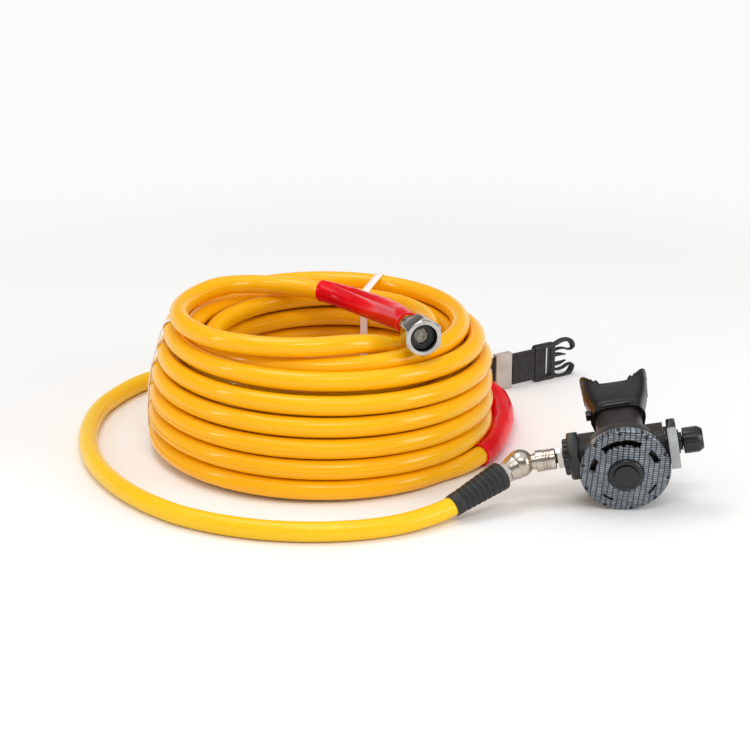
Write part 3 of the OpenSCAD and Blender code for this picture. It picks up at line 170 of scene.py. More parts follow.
def plainFinish(name, look):
    # light and dark: the colour's two ends, over patches of patchMm. The grain is bump of grainMm, grainDepth high.
    material = bpy.data.materials.new(name)
    material.use_nodes = True
    tree = material.node_tree
    shader = tree.nodes["Principled BSDF"]
    place = addNode(tree, "ShaderNodeTexCoord").outputs["Object"]
    patches = addNode(tree, "ShaderNodeTexNoise", {"Scale": 1000 / look["patchMm"], "Detail": 3.0}, {"Vector": place})
    colour = addNode(tree, "ShaderNodeValToRGB", {"stops": [(0.3, look["dark"]), (0.7, look["light"])]},
                     {"Fac": patches.outputs["Fac"]})
    tree.links.new(colour.outputs["Color"], shader.inputs["Base Color"])
    rough = look["rough"]
    wear = addNode(tree, "ShaderNodeTexNoise", {"Scale": 2600 / look["patchMm"], "Detail": 4.0}, {"Vector": place})
    polish = addNode(tree, "ShaderNodeMapRange", {"From Min": 0.3, "From Max": 0.7, "To Min": rough * 0.82,
                                                  "To Max": rough * 1.2}, {"Value": wear.outputs["Fac"]})
    tree.links.new(polish.outputs["Result"], shader.inputs["Roughness"])
    grain = addNode(tree, "ShaderNodeTexNoise", {"Scale": 1000 / look["grainMm"], "Detail": 2.0}, {"Vector": place})
    bump = addNode(tree, "ShaderNodeBump", {"Strength": look.get("bump", 0.5), "Distance": look["grainDepth"] / 1000},
                   {"Height": grain.outputs["Fac"]})
    tree.links.new(bump.outputs["Normal"], shader.inputs["Normal"])
    shader.inputs["Metallic"].default_value = look.get("metal", 0)
    shader.inputs["Coat Weight"].default_value = look.get("coat", 0)
    shader.inputs["Coat Roughness"].default_value = look.get("coatRough", 0.1)
    if "ior" in look:
        shader.inputs["IOR"].default_value = look["ior"]
    if "shine" in look:
        shader.inputs["Specular IOR Level"].default_value = look["shine"]
    if "sheen" in look:
        shader.inputs["Sheen Weight"].default_value = look["sheen"]
    return material, tree, shader, bump


finishes = {
    # extruded polyurethane over braid: glossy skin, a little deeper in colour here and there
    "extrudedSupplyHose": {"light": "#FFBF0E", "dark": "#FFB706", "patchMm": 90, "rough": 0.16, "grainMm": 3.0,
                           "grainDepth": 0.012, "bump": 0.35, "ior": 1.5, "shine": 0.35},
    "extrudedWhipHose": {"light": "#FFCE18", "dark": "#FFC80E", "patchMm": 90, "rough": 0.2, "grainMm": 3.0,
                         "grainDepth": 0.012, "bump": 0.3, "ior": 1.5, "shine": 0.35},
    # heat-shrunk polyolefin sleeve: satin skin that shows its long drawn highlight
    "shrunkPolyolefin": {"light": "#F2041A", "dark": "#D80212", "patchMm": 40, "rough": 0.16, "grainMm": 6,
                         "grainDepth": 0.05, "bump": 0.5, "ior": 1.5, "shine": 0.16},
    # moulded nylon strips: milky white, satin
    "nylonTie": {"light": "#FDF6F0", "dark": "#F6EEE8", "patchMm": 12, "rough": 0.35, "grainMm": 0.8,
                 "grainDepth": 0.02, "ior": 1.53},
    # bright chrome plate, with faint handling marks
    "chromePlate": {"light": "#D8D2CC", "dark": "#B4ADA6", "patchMm": 14, "rough": 0.12, "grainMm": 1.6,
                    "grainDepth": 0.003, "metal": 1},
    # brushed and plated nickel: warm and softer than chrome
    "satinNickel": {"light": "#D6CBBF", "dark": "#BBAE9F", "patchMm": 10, "rough": 0.24, "grainMm": 0.7,
                    "grainDepth": 0.003, "metal": 1},
    # ribbed strain-relief rubber: matt and even
    "mouldedRubber": {"light": "#212224", "dark": "#18191B", "patchMm": 12, "rough": 0.5, "grainMm": 0.7,
                      "grainDepth": 0.04, "ior": 1.5},
    # liquid silicone mouthpiece: smoky brown-black with a wet shine
    "mouthSilicone": {"light": "#1C1817", "dark": "#12100F", "patchMm": 18, "rough": 0.34, "grainMm": 2.5,
                      "grainDepth": 0.06, "ior": 1.42, "coat": 0.12, "coatRough": 0.2},
    # glass-filled nylon case: dark grey-brown, satin
    "glassFilledNylon": {"light": "#36322F", "dark": "#2A2725", "patchMm": 22, "rough": 0.36, "grainMm": 0.5,
                         "grainDepth": 0.02, "ior": 1.53},
    # glossy black acetal: collars, knob, button
    "blackAcetal": {"light": "#171718", "dark": "#101011", "patchMm": 16, "rough": 0.3, "grainMm": 0.6,
                    "grainDepth": 0.02, "ior": 1.5},
    # buckle acetal: satin
    "buckleAcetal": {"light": "#1C1A19", "dark": "#131211", "patchMm": 12, "rough": 0.34, "grainMm": 0.8,
                     "grainDepth": 0.03, "ior": 1.5},
    # grey nylon, moulded: the lever and the keeper
    "greyNylon": {"light": "#A9ABAC", "dark": "#989A9B", "patchMm": 10, "rough": 0.42, "grainMm": 0.9,
                  "grainDepth": 0.04, "ior": 1.5},
    "keeperNylon": {"light": "#C3B9B0", "dark": "#ADA298", "patchMm": 12, "rough": 0.45, "grainMm": 0.9,
                    "grainDepth": 0.04, "ior": 1.5},
    # hidden works: machined brass, spring wire, white acetal and clear silicone
    "machinedBrass": {"light": "#C6A15C", "dark": "#A9854A", "patchMm": 8, "rough": 0.25, "grainMm": 0.5,
                      "grainDepth": 0.02, "metal": 1},
    "springWire": {"light": "#C9CBCD", "dark": "#A9ABAE", "patchMm": 6, "rough": 0.25, "grainMm": 0.4,
                   "grainDepth": 0.02, "metal": 1},
    "whiteAcetal": {"light": "#ECEAE6", "dark": "#DEDBD5", "patchMm": 8, "rough": 0.35, "grainMm": 0.6,
                    "grainDepth": 0.02, "ior": 1.5},
    "clearSilicone": {"light": "#C9CBC8", "dark": "#B5B7B4", "patchMm": 10, "rough": 0.35, "grainMm": 1.2,
                      "grainDepth": 0.03, "ior": 1.42},
    # sintered filter disc: rough grey grains
    "sinteredScreen": {"light": "#B9B2A8", "dark": "#6E675F", "patchMm": 2.4, "rough": 0.5, "grainMm": 1.3,
                       "grainDepth": 0.5, "bump": 1, "metal": 0.6},
    # woven polyester webbing
    "wovenWebbing": {"light": "#1F1B1C", "dark": "#151314", "patchMm": 14, "rough": 0.75, "grainMm": 0.8,
                     "grainDepth": 0.05, "ior": 1.5, "sheen": 0.15},
    # hydrographic film on the cover, under a thin gloss coat
    "printedCover": {"light": "#3A3E41", "dark": "#303336", "patchMm": 16, "rough": 0.3, "grainMm": 1.0,
                     "grainDepth": 0.02, "ior": 1.5, "coat": 0.5, "coatRough": 0.08},
}
made = {name: plainFinish(name, look) for name, look in finishes.items()}
materials = {name: parts[0] for name, parts in made.items()}
print("materials made:", len(materials))


def routeUv(tree):
    # u: metres along the piece, v: share of the way round or across it
    return addNode(tree, "ShaderNodeSeparateXYZ", links={"Vector": addNode(tree, "ShaderNodeUVMap", {
        "uv_map": "route"}).outputs["UV"]})


def addRelief(finish, height, depthMm, strength=1.0):
    # a second bump under the grain
    material, tree, shader, bump = made[finish]
    relief = addNode(tree, "ShaderNodeBump", {"Strength": strength, "Distance": depthMm / 1000}, {"Height": height})
    tree.links.new(relief.outputs["Normal"], bump.inputs["Normal"])


# The braid under the whip hose's skin shows as small diamonds, 2.4 mm long
braid = {"pitchMm": 2.4, "round": 20, "depthMm": 0.09}
tree = made["extrudedWhipHose"][1]
uv = routeUv(tree)
turn = {"operation": "MULTIPLY", 1: math.pi * 1000 / braid["pitchMm"]}
along = addNode(tree, "ShaderNodeMath", turn, {0: uv.outputs["X"]}).outputs["Value"]
turn = {"operation": "MULTIPLY", 1: math.pi * braid["round"]}
across = addNode(tree, "ShaderNodeMath", turn, {0: uv.outputs["Y"]}).outputs["Value"]
crossing = []
for way in ("ADD", "SUBTRACT"):
    lean = addNode(tree, "ShaderNodeMath", {"operation": way}, {0: along, 1: across}).outputs["Value"]
    crossing.append(addNode(tree, "ShaderNodeMath", {"operation": "SINE"}, {0: lean}).outputs["Value"])
diamonds = addNode(tree, "ShaderNodeMath", {"operation": "MULTIPLY"}, {0: crossing[0], 1: crossing[1]})
addRelief("extrudedWhipHose", diamonds.outputs["Value"], braid["depthMm"])

# The supply hose's die leaves faint lines along it
dieLines = {"round": 70, "perMetre": 6, "depthMm": 0.03}
tree = made["extrudedSupplyHose"][1]
stretch = (dieLines["perMetre"], dieLines["round"], 1)
streaks = addNode(tree, "ShaderNodeVectorMath", {"operation": "MULTIPLY", 1: stretch}, {
    0: addNode(tree, "ShaderNodeUVMap", {"uv_map": "route"}).outputs["UV"]})
lines = addNode(tree, "ShaderNodeTexNoise", {"Scale": 1.0, "Detail": 1.0}, {"Vector": streaks.outputs["Vector"]})
addRelief("extrudedSupplyHose", lines.outputs["Fac"], dieLines["depthMm"])

# Webbing: ribs across the strap, 1.7 mm apart, crossed by finer warp threads. The same pattern darkens the colour in
# its hollows and lightens it on its ribs: painted shade and painted highlight.
weave = {"ribMm": 1.7, "warpMm": 0.9, "widthMm": 30, "depthMm": 0.35}
tree, shader = made["wovenWebbing"][1:3]
uv = routeUv(tree)
waves = []
for side, turns in (("X", 1000 / weave["ribMm"]), ("Y", weave["widthMm"] / weave["warpMm"])):
    turn = addNode(tree, "ShaderNodeMath", {"operation": "MULTIPLY", 1: 2 * math.pi * turns}, {0: uv.outputs[side]})
    waves.append(addNode(tree, "ShaderNodeMath", {"operation": "SINE"}, {0: turn.outputs["Value"]}).outputs["Value"])
cloth = addNode(tree, "ShaderNodeMath", {"operation": "MULTIPLY_ADD", 1: 0.35},
                {0: waves[1], 2: waves[0]}).outputs["Value"]
addRelief("wovenWebbing", cloth, weave["depthMm"], 0.8)
# Painted shade and highlight: the base colour is scaled down to 0.55 in the weave's hollows and up to 1.25 on its ribs
weaveShadeAndHighlight = addNode(tree, "ShaderNodeMapRange", {"From Min": -1.2, "From Max": 1.2, "To Min": 0.55, "To Max": 1.25},
                  {"Value": cloth})
shade = addNode(tree, "ShaderNodeVectorMath", {"operation": "SCALE"}, {
    0: shader.inputs["Base Color"].links[0].from_socket, "Scale": weaveShadeAndHighlight.outputs["Result"]})
tree.links.new(shade.outputs["Vector"], shader.inputs["Base Color"])

# Cover film: leaning columns of short pale dashes, side by side
film = {"dashMm": 1.85, "columnMm": 4.3, "squeeze": 0.6, "gapMm": 0.42, "lean": 14,
        "light": "#8E979F", "dim": "#666E76", "ground": "#15171A"}
tree, shader = made["printedCover"][1:3]
place = addNode(tree, "ShaderNodeMapping", {
    "vector_type": "TEXTURE", "Location": regulatorFrame.to_translation(),
    "Rotation": regulatorFrame.to_euler(), "Scale": (0.001, 0.001, 0.001)},
    {"Vector": addNode(tree, "ShaderNodeTexCoord").outputs["Object"]})
flat = addNode(tree, "ShaderNodeSeparateXYZ", links={"Vector": place.outputs["Vector"]})
level = addNode(tree, "ShaderNodeCombineXYZ", links={"X": flat.outputs["X"], "Y": flat.outputs["Z"]})
sheetPlace = addNode(tree, "ShaderNodeMapping", {
    "vector_type": "TEXTURE", "Rotation": (0, 0, -math.radians(film["lean"])), "Scale": (1 / film["squeeze"], 1, 1)},
    {"Vector": level.outputs["Vector"]})
dashes = addNode(tree, "ShaderNodeTexBrick", {
    "Scale": 1.0, "Mortar Size": film["gapMm"], "Mortar Smooth": 0.5, "Brick Width": film["columnMm"] * film["squeeze"],
    "Row Height": film["dashMm"], "Color1": linear(film["light"]), "Color2": linear(film["dim"]),
    "Mortar": linear(film["ground"]), "offset": 0.0}, {"Vector": sheetPlace.outputs["Vector"]})
tree.links.new(dashes.outputs["Color"], shader.inputs["Base Color"])


# Routes: a smooth line through the controls, and frames carried along it without twisting
def smoothRoute(controls, step):
    controls = [Vector(c) for c in controls]
    padded = [2 * controls[0] - controls[1]] + controls + [2 * controls[-1] - controls[-2]]
    points = []
    reached = []
    for p0, p1, p2, p3 in zip(padded, padded[1:], padded[2:], padded[3:]):
        t1 = math.sqrt((p1 - p0).length)
        t2 = t1 + math.sqrt((p2 - p1).length)
        t3 = t2 + math.sqrt((p3 - p2).length)
        count = max(1, round((p2 - p1).length / step))
        reached.append(len(points))
        for k in range(count):
            t = t1 + (t2 - t1) * k / count
            a1 = p0.lerp(p1, t / t1)
            a2 = p1.lerp(p2, (t - t1) / (t2 - t1))
            a3 = p2.lerp(p3, (t - t2) / (t3 - t2))
            b1 = a1.lerp(a2, t / t2)
            b2 = a2.lerp(a3, (t - t1) / (t3 - t1))
            points.append(b1.lerp(b2, (t - t1) / (t2 - t1)))
    reached.append(len(points))
    points.append(controls[-1].copy())
    gone = [0.0]
    for a, b in zip(points, points[1:]):
        gone.append(gone[-1] + (b - a).length)
    side = Vector((0, 0, 1)).cross(points[1] - points[0]).normalized()
    sides = []
    ways = []
    for k in range(len(points)):
        way = (points[min(k + 1, len(points) - 1)] - points[max(k - 1, 0)]).normalized()
        side = (side - side.dot(way) * way).normalized()
        sides.append(side)
        ways.append(way)
    return {"points": points, "gone": gone, "sides": sides, "ways": ways, "at": [gone[k] for k in reached]}


def placeOn(route, s):
    gone = route["gone"]
    low, high = 0, len(gone) - 1
    while high - low > 1:
        mid = (low + high) // 2
        low, high = (mid, high) if gone[mid] <= s else (low, mid)
    share = min(1, max(0, (s - gone[low]) / (gone[high] - gone[low])))
    point = route["points"][low].lerp(route["points"][high], share)
    way = route["ways"][low].lerp(route["ways"][high], share).normalized()
    side = route["sides"][low].lerp(route["sides"][high], share)
    side = (side - side.dot(way) * way).normalized()
    return point, side, way.cross(side), way


def sweep(name, route, profile, sides, shape=None, loop=False):
    # profile: places along the route and radii. shape adds to the radius at a place along it and an angle round it.
    built = bmesh.new()
    uvLayer = built.loops.layers.uv.new("route")
    rings = []
    for s, radius in profile:
        point, side, up, way = placeOn(route, s)
        ring = []
        for k in range(sides):
            a = 2 * math.pi * k / sides
            r = radius + (shape(s, a, up) if shape else 0)
            ring.append(built.verts.new(rowPoint(point + r * (math.cos(a) * side + math.sin(a) * up))))
        rings.append((s, ring))
    for (s0, low), (s1, high) in zip(rings, rings[1:] + (rings[:1] if loop else [])):
        for k in range(sides):
            nextOne = (k + 1) % sides
            face = built.faces.new((low[k], low[nextOne], high[nextOne], high[k]))
            face.smooth = True
            for corner, (s, share) in zip(face.loops, ((s0, k), (s0, k + 1), (s1, k + 1), (s1, k))):
                corner[uvLayer].uv = (s / 1000, share / sides)
    if not loop:
        built.faces.new(list(reversed(rings[0][1])))
        built.faces.new(rings[-1][1])
    bmesh.ops.recalc_face_normals(built, faces=built.faces)
    return linkMesh(name, built)


# Supply hose: the tail from the check valve, the coil, and the tail to the nut. The coil's wall winds up outside,
# a second layer goes down inside it, and a third winds up again inside that.
supplyHose = {"od": 16.4, "step": 8, "sides": 20, "firstAngle": -42, "turns": 17.5, "perTurn": 24, "ferrule": 23}
lowerTail = [(59, 177, 14), (75.4, 177, 14), (96, 169, 12), (112, 153, 10.1), (127, 136, 10.1), (141, 119, 10.1),
             (153, 102, 10.1), (160, 82, 10.1), (162.7, 55, 10.1), (161.7, 27, 10.1), (157.2, 0, 10.1),
             (151.6, -24, 10.1), (144.6, -44, 10.1), (136.2, -59, 10.1), (120, -77, 8.8)]
radiusByTurn = [(0, 141), (1, 142), (2, 142), (4, 139), (5, 131), (5.4, 131), (5.6, 128.8), (5.7, 125.5), (5.8, 121),
                (5.9, 117.5), (6, 114.5), (6.9, 114), (7, 115.4), (8, 122.5), (9, 124), (11.55, 124), (11.6, 119.5),
                (11.7, 110), (11.8, 106.5), (11.9, 106), (14.6, 106), (15.9, 97.5), (16.9, 96.5), (17, 94),
                (17.04, 95.5), (17.12, 102), (17.35, 106), (17.5, 104)]
heightByTurn = [(0, 8.2), (5, 93.2), (5.4, 101.2), (5.6, 103.6), (5.8, 104), (6, 102.6), (6.13, 102.5), (6.4, 100),
                (6.6, 95), (6.7, 91.6), (6.8, 88.6), (6.9, 86.8), (7, 85.4), (8, 69), (9, 52), (10, 35),
                (10.58, 25.2), (10.7, 17), (10.9, 8.2), (12.45, 8.2), (12.5, 10.5), (12.55, 14.5), (12.6, 20.5),
                (12.65, 23.8), (12.7, 25.2), (12.8, 25.6), (16.9, 102.2), (16.97, 103.7), (17, 106.7),
                (17.06, 118.2), (17.12, 119.8), (17.5, 119.8)]
middleXByHeight = [(8.2, 0), (42.2, 1), (76.2, 3), (93.2, 4)]
middleXByTurn = [(16.7, 4), (17, -4), (17.25, -14), (17.5, -14)]
middleYByHeight = [(8.2, 6), (93.2, 18)]
middleYByTurn = [(16.7, 18), (17, 8), (17.25, 3), (17.5, 3)]


def coilPoint(t):
    angle = math.radians(supplyHose["firstAngle"] - 360 * t)
    z = lookUp(heightByTurn, t)
    x = lookUp(middleXByHeight, z) if t < 16.7 else lookUp(middleXByTurn, t)
    y = lookUp(middleYByHeight, z) if t < 16.7 else lookUp(middleYByTurn, t)
    r = lookUp(radiusByTurn, t)
    return Vector((x + r * math.cos(angle), y + r * math.sin(angle), z))


nutWay = Vector((0.29, -0.955, 0.02)).normalized()
nutFace = Vector((88, -90, 125.2))
tailEnd = nutFace - (17 + 0.3 + supplyHose["ferrule"]) * nutWay
upperTail = [(-64, 92, 116.2), (-34, 96, 113.2), (0, 84, 112.2), (24, 61, 113.7), (43, 33, 116.2), (58, 6, 119.2),
             (67.5, -20, 122.2), tailEnd - supplyHose["od"] * nutWay, tailEnd]
coilSteps = round(supplyHose["turns"] * supplyHose["perTurn"])
coilRoute = [coilPoint(k / supplyHose["perTurn"]) for k in range(coilSteps + 1)]
supplyControls = lowerTail + coilRoute + upperTail
supplyRoute = smoothRoute(supplyControls, supplyHose["step"])
hoseProfile = [(0, supplyHose["od"] / 2 - 0.8), (0.8, supplyHose["od"] / 2)]
hoseProfile += [(s, supplyHose["od"] / 2) for s in supplyRoute["gone"][1:-1]]
hoseProfile += [(supplyRoute["gone"][-1], supplyHose["od"] / 2)]
supplyPiece = sweep("supplyHose", supplyRoute, hoseProfile, supplyHose["sides"])
finishPiece(supplyPiece, materials["extrudedSupplyHose"], "hoses_and_belt",
            ("supply_hose", "supply_core"))
print("supply hose:", round(supplyRoute["gone"][-1] / 1000, 3), "m")

# Whip hose: from the check valve round the back and the left of the coil to the boot
whip = {"od": 16, "step": 5, "sides": 28, "yaw": 34, "rise": 17.5, "bootStart": 19.2, "bootLength": 52, "inBoot": 41.2}
hoseEndWay = (turned("Z", whip["yaw"]) @ turned("Y", -whip["rise"]) @ Vector((1, 0, 0)))
whipControls = [(-27, 177, 14), (-43, 177, 14), (-66, 177, 11), (-96, 174, 9), (-123, 166, 8.2), (-147, 152, 8.1),
                (-167, 134, 8), (-180, 114, 8), (-191, 90, 8), (-199, 65, 8), (-203, 34, 8), (-202, -8, 8),
                (-195, -45, 8), (-185, -76, 8), (-172, -103, 8), (-158, -126, 8), (-140, -149, 8), (-123, -166, 8),
                (-106, -180, 8), (-89, -190, 8), (-70, -199, 8), (-41, -208, 8), (-10, -212, 8), (21, -211, 8),
                (50, -205, 8), (76, -194, 8.6), ballPlace - (whip["bootStart"] + whip["bootLength"] + 0.2) * hoseEndWay,
                ballPlace - whip["inBoot"] * hoseEndWay]
whipRoute = smoothRoute(whipControls, whip["step"])
whipProfile = [(s, whip["od"] / 2) for s in whipRoute["gone"]]
whipPiece = sweep("whipHose", whipRoute, whipProfile, whip["sides"])
finishPiece(whipPiece, materials["extrudedWhipHose"], "hoses_and_belt", ("whip_hose",))
print("whip hose:", round(whipRoute["gone"][-1] / 1000, 3), "m")


# Red sleeves: a thick skin with rolled lips and drawn lengthwise creases
sleeve = {"outer": 10.0, "inner": 8.45, "lip": 0.7, "sides": 40, "stepMm": 3}


def sleeveProfile(start, end):
    outer, lip = sleeve["outer"], sleeve["lip"]
    count = round((end - start) / sleeve["stepMm"])
    profile = [(start + 0.5, sleeve["inner"]), (start, outer - 0.9), (start + 0.3, outer - 0.2), (start + 1.2, outer),
               (start + 2.6, outer - lip * 0.5)]
    for k in range(1, count):
        s = start + (end - start) * k / count
        if start + 4 < s < end - 4:
            profile.append((s, outer - lip * 0.5))
    profile += [(end - 2.6, outer - lip * 0.5), (end - 1.2, outer), (end - 0.3, outer - 0.2), (end, outer - 0.9),
                (end - 0.5, sleeve["inner"])]
    return profile


def sleeveCreases(start, end, seed, depth):
    def shape(s, a, up):
        inside = smoothStep(start + 2, start + 8, s) * (1 - smoothStep(end - 8, end - 2, s))
        long = noise.noise(Vector((s / 26, math.cos(a) * 1.7 + seed, math.sin(a) * 1.7)))
        fold = noise.noise(Vector((s / 9, math.cos(a) * 4 + seed, math.sin(a) * 4)))
        return inside * depth * (0.75 * long + 0.35 * fold)
    return shape


firstUp = len(lowerTail) + len(coilRoute)
upperStart = supplyRoute["at"][firstUp + 2]
upperEnd = supplyRoute["at"][-1] - 0.2
upperSleeve = sweep("upperSleeve", supplyRoute, sleeveProfile(upperStart, upperEnd), sleeve["sides"],
                    sleeveCreases(upperStart, upperEnd, 3.1, 0.8), loop=True)
finishPiece(upperSleeve, materials["shrunkPolyolefin"], "hoses_and_belt", ("upper_sleeve",))
lowerStart = supplyRoute["at"][6]
lowerEnd = supplyRoute["at"][13]
lowerSleeve = sweep("lowerSleeve", supplyRoute, sleeveProfile(lowerStart, lowerEnd), sleeve["sides"],
                    sleeveCreases(lowerStart, lowerEnd, 7.7, 0.7), loop=True)
finishPiece(lowerSleeve, materials["shrunkPolyolefin"], "hoses_and_belt", ("lower_sleeve",))
print("sleeves made")


# Cable ties: a band pulled tight round the rows that it holds, 7 mm wide
tie = {"width": 7, "thickness": 1.2, "gap": 0.15, "soft": 0.35, "middle": (3, 12), "leastHeight": 0.8}


def hullOf(points):
    points = sorted(set(points))
    halves = []
    for run in (points, points[::-1]):
        chain = []
        for p in run:
            while len(chain) > 1 and ((chain[-1][0] - chain[-2][0]) * (p[1] - chain[-2][1])
                                      <= (chain[-1][1] - chain[-2][1]) * (p[0] - chain[-2][0])):
                chain.pop()
            chain.append(p)
        halves += chain[:-1]
    return halves


def coilTie(name, angle, rows, node):
    # points are distances out from the middle and heights
    share = ((supplyHose["firstAngle"] - angle) % 360) / 360
    reach = supplyHose["od"] / 2 + tie["gap"] + tie["thickness"] / 2
    around = []
    for k in range(rows):
        p = coilPoint(share + k)
        out = math.hypot(p.x - tie["middle"][0], p.y - tie["middle"][1])
        for turn in range(32):
            a = 2 * math.pi * turn / 32
            around.append((round(out + reach * math.cos(a), 3),
                           round(max(tie["leastHeight"], p.z + reach * math.sin(a)), 3)))
    band = hullOf(around)
    direction = Vector((math.cos(math.radians(angle)), math.sin(math.radians(angle)), 0))
    aside = Vector((-direction.y, direction.x, 0))
    middle = Vector((tie["middle"][0], tie["middle"][1], 0))
    t, w, soft = tie["thickness"] / 2, tie["width"] / 2, tie["soft"]
    profile = [(t, w - soft), (t - soft, w), (soft - t, w), (-t, w - soft), (-t, soft - w), (soft - t, -w),
               (t - soft, -w), (t, soft - w)]
    built = bmesh.new()
    rings = []
    for k, (r, z) in enumerate(band):
        before, after = band[k - 1], band[(k + 1) % len(band)]
        way = Vector((after[0] - before[0], after[1] - before[1])).normalized()
        outward = Vector((way.y, -way.x))
        rings.append([built.verts.new(rowPoint(middle + direction * (r + outward.x * n)
                                               + Vector((0, 0, z + outward.y * n)) + aside * across))
                      for n, across in profile])
    for low, high in zip(rings, rings[1:] + rings[:1]):
        for k in range(8):
            built.faces.new((low[k], low[(k + 1) % 8], high[(k + 1) % 8], high[k])).smooth = True
    bmesh.ops.recalc_face_normals(built, faces=built.faces)
    piece = linkMesh(name, built)
    smoothByAngle(piece, 50)
    return finishPiece(piece, materials["nylonTie"], "hoses_and_belt", (node,))


coilTie("leftTie", 182, 6, "coil_tie_left")
coilTie("backTie", 68, 17, "coil_tie_back")

# Belt: keeper's middle, and along and across the belt from it. The end is folded back over the buckle's bar and sewn.
belt = {"keeper": (167.5, 135), "yaw": 33, "low": 3, "high": 33, "thickness": 1.6, "soft": 0.35}
beltTurn = Matrix.Rotation(math.radians(belt["yaw"]), 3, "Z")


def beltPoint(along, across, z):
    return Vector((belt["keeper"][0], belt["keeper"][1], 0)) + beltTurn @ Vector((along, across, z))


strapPath = [beltPoint(*p, 18) for p in ((10.2, -2), (16, -2), (28, -1.9), (44, -1.9), (48, -1.9), (49.2, -1.6),
                                         (49.8, -0.95), (49.2, -0.3), (48, 0), (44, 0), (32, 0), (20, 0), (0, 0),
                                         (-14, 0))]
strapPath += [Vector((x, y, 18)) for x, y in ((149, 127), (139, 138), (126, 153), (111, 168), (94, 182), (76, 189.9),
                                              (58, 191.9), (20, 191.9), (-44, 191.9))]
strapRoute = smoothRoute(strapPath, 1.5)
built = bmesh.new()
uvLayer = built.loops.layers.uv.new("route")
t, soft = belt["thickness"] / 2, belt["soft"]
low, high = belt["low"], belt["high"]
profile = [(-t, low + soft), (soft - t, low), (t - soft, low), (t, low + soft), (t, high - soft), (t - soft, high),
           (soft - t, high), (-t, high - soft)]
rings = []
for s, point, way in zip(strapRoute["gone"], strapRoute["points"], strapRoute["ways"]):
    out = Vector((-way.y, way.x, 0)).normalized()
    rings.append((s, [built.verts.new(rowPoint(Vector((point.x, point.y, z)) + out * n)) for n, z in profile]))
for (s0, a), (s1, b) in zip(rings, rings[1:]):
    for k in range(8):
        after = (k + 1) % 8
        face = built.faces.new((a[k], a[after], b[after], b[k]))
        face.smooth = True
        for corner, (s, z) in zip(face.loops, ((s0, profile[k][1]), (s0, profile[after][1]),
                                               (s1, profile[after][1]), (s1, profile[k][1]))):
            corner[uvLayer].uv = (s / 1000, (z - low) / (high - low))
built.faces.new(rings[0][1][::-1])
built.faces.new(rings[-1][1])
bmesh.ops.recalc_face_normals(built, faces=built.faces)
strap = linkMesh("beltStrap", built)
smoothByAngle(strap, 50)
finishPiece(strap, materials["wovenWebbing"], "hoses_and_belt", ("belt_webbing",))


def cutRectangle(left, right, low, high, cut):
    return [(left, low + cut), (left + cut, low), (right - cut, low), (right, low + cut),
            (right, high - cut), (right - cut, high), (left + cut, high), (left, high - cut)]


# Buckle: an open frame, two sprung prongs with hooked heads, and two guides between them
buckle = {"start": 36, "end": 60, "height": 36, "thickness": 7.4, "slotStart": 40, "slotEnd": 54.6, "rail": 3.6,
          "foot": 0.4, "corner": 2.2, "cut": 1}
built = bmesh.new()
buckleTop, roundEnd = buckle["height"] - buckle["foot"], buckle["start"] + buckle["corner"]
outer = ([(buckle["start"], buckle["corner"]), (roundEnd, buckle["foot"])]
         + cutRectangle(buckle["start"], buckle["end"], buckle["foot"], buckleTop, buckle["cut"])[2:6]
         + [(roundEnd, buckleTop), (buckle["start"], buckle["height"] - buckle["corner"])])
hole = cutRectangle(buckle["slotStart"], buckle["slotEnd"], buckle["rail"], buckle["height"] - buckle["rail"],
                    buckle["cut"])
sheets = [[[built.verts.new(rowPoint(beltPoint(x, y, z))) for x, z in line] for line in (outer, hole)]
          for y in (-buckle["thickness"] / 2, buckle["thickness"] / 2)]
(o0, h0), (o1, h1) = sheets
for k in range(len(outer)):
    after = (k + 1) % len(outer)
    for quad in ((o0[k], o0[after], h0[after], h0[k]), (o1[k], h1[k], h1[after], o1[after]),
                 (o0[k], o1[k], o1[after], o0[after]), (h0[k], h0[after], h1[after], h1[k])):
        built.faces.new(quad)
bmesh.ops.recalc_face_normals(built, faces=built.faces)
frameRing = linkMesh("buckleFrame", built)
applyModifier(frameRing, "BEVEL", width=0.0011, segments=3, limit_method="ANGLE", angle_limit=math.radians(50))


def bar(name, path, profile, sides=16):
    # path: along the belt and height in the buckle's plane. profile: share of the way, half height, half thickness.
    route = smoothRoute([beltPoint(x, 0, z) for x, z in path], 0.8)
    far = route["gone"][-1]
    thin = beltTurn @ Vector((0, 1, 0))
    built = bmesh.new()
    rings = []
    for s, point, way in zip(route["gone"], route["points"], route["ways"]):
        half = lookUp([(share, h) for share, h, d in profile], s / far)
        deep = lookUp([(share, d) for share, h, d in profile], s / far)
        up = way.cross(thin).normalized()
        ring = []
        for k in range(sides):
            a = 2 * math.pi * k / sides
            x, y = math.cos(a), math.sin(a)
            ring.append(built.verts.new(rowPoint(point + up * half * math.copysign(abs(x) ** 0.6, x)
                                                 + thin * deep * math.copysign(abs(y) ** 0.6, y))))
        rings.append(ring)
    for a, b in zip(rings, rings[1:]):
        for k in range(sides):
            built.faces.new((a[k], a[(k + 1) % sides], b[(k + 1) % sides], b[k])).smooth = True
    built.faces.new(rings[0][::-1])
    built.faces.new(rings[-1])
    bmesh.ops.recalc_face_normals(built, faces=built.faces)
    return linkMesh(name, built)


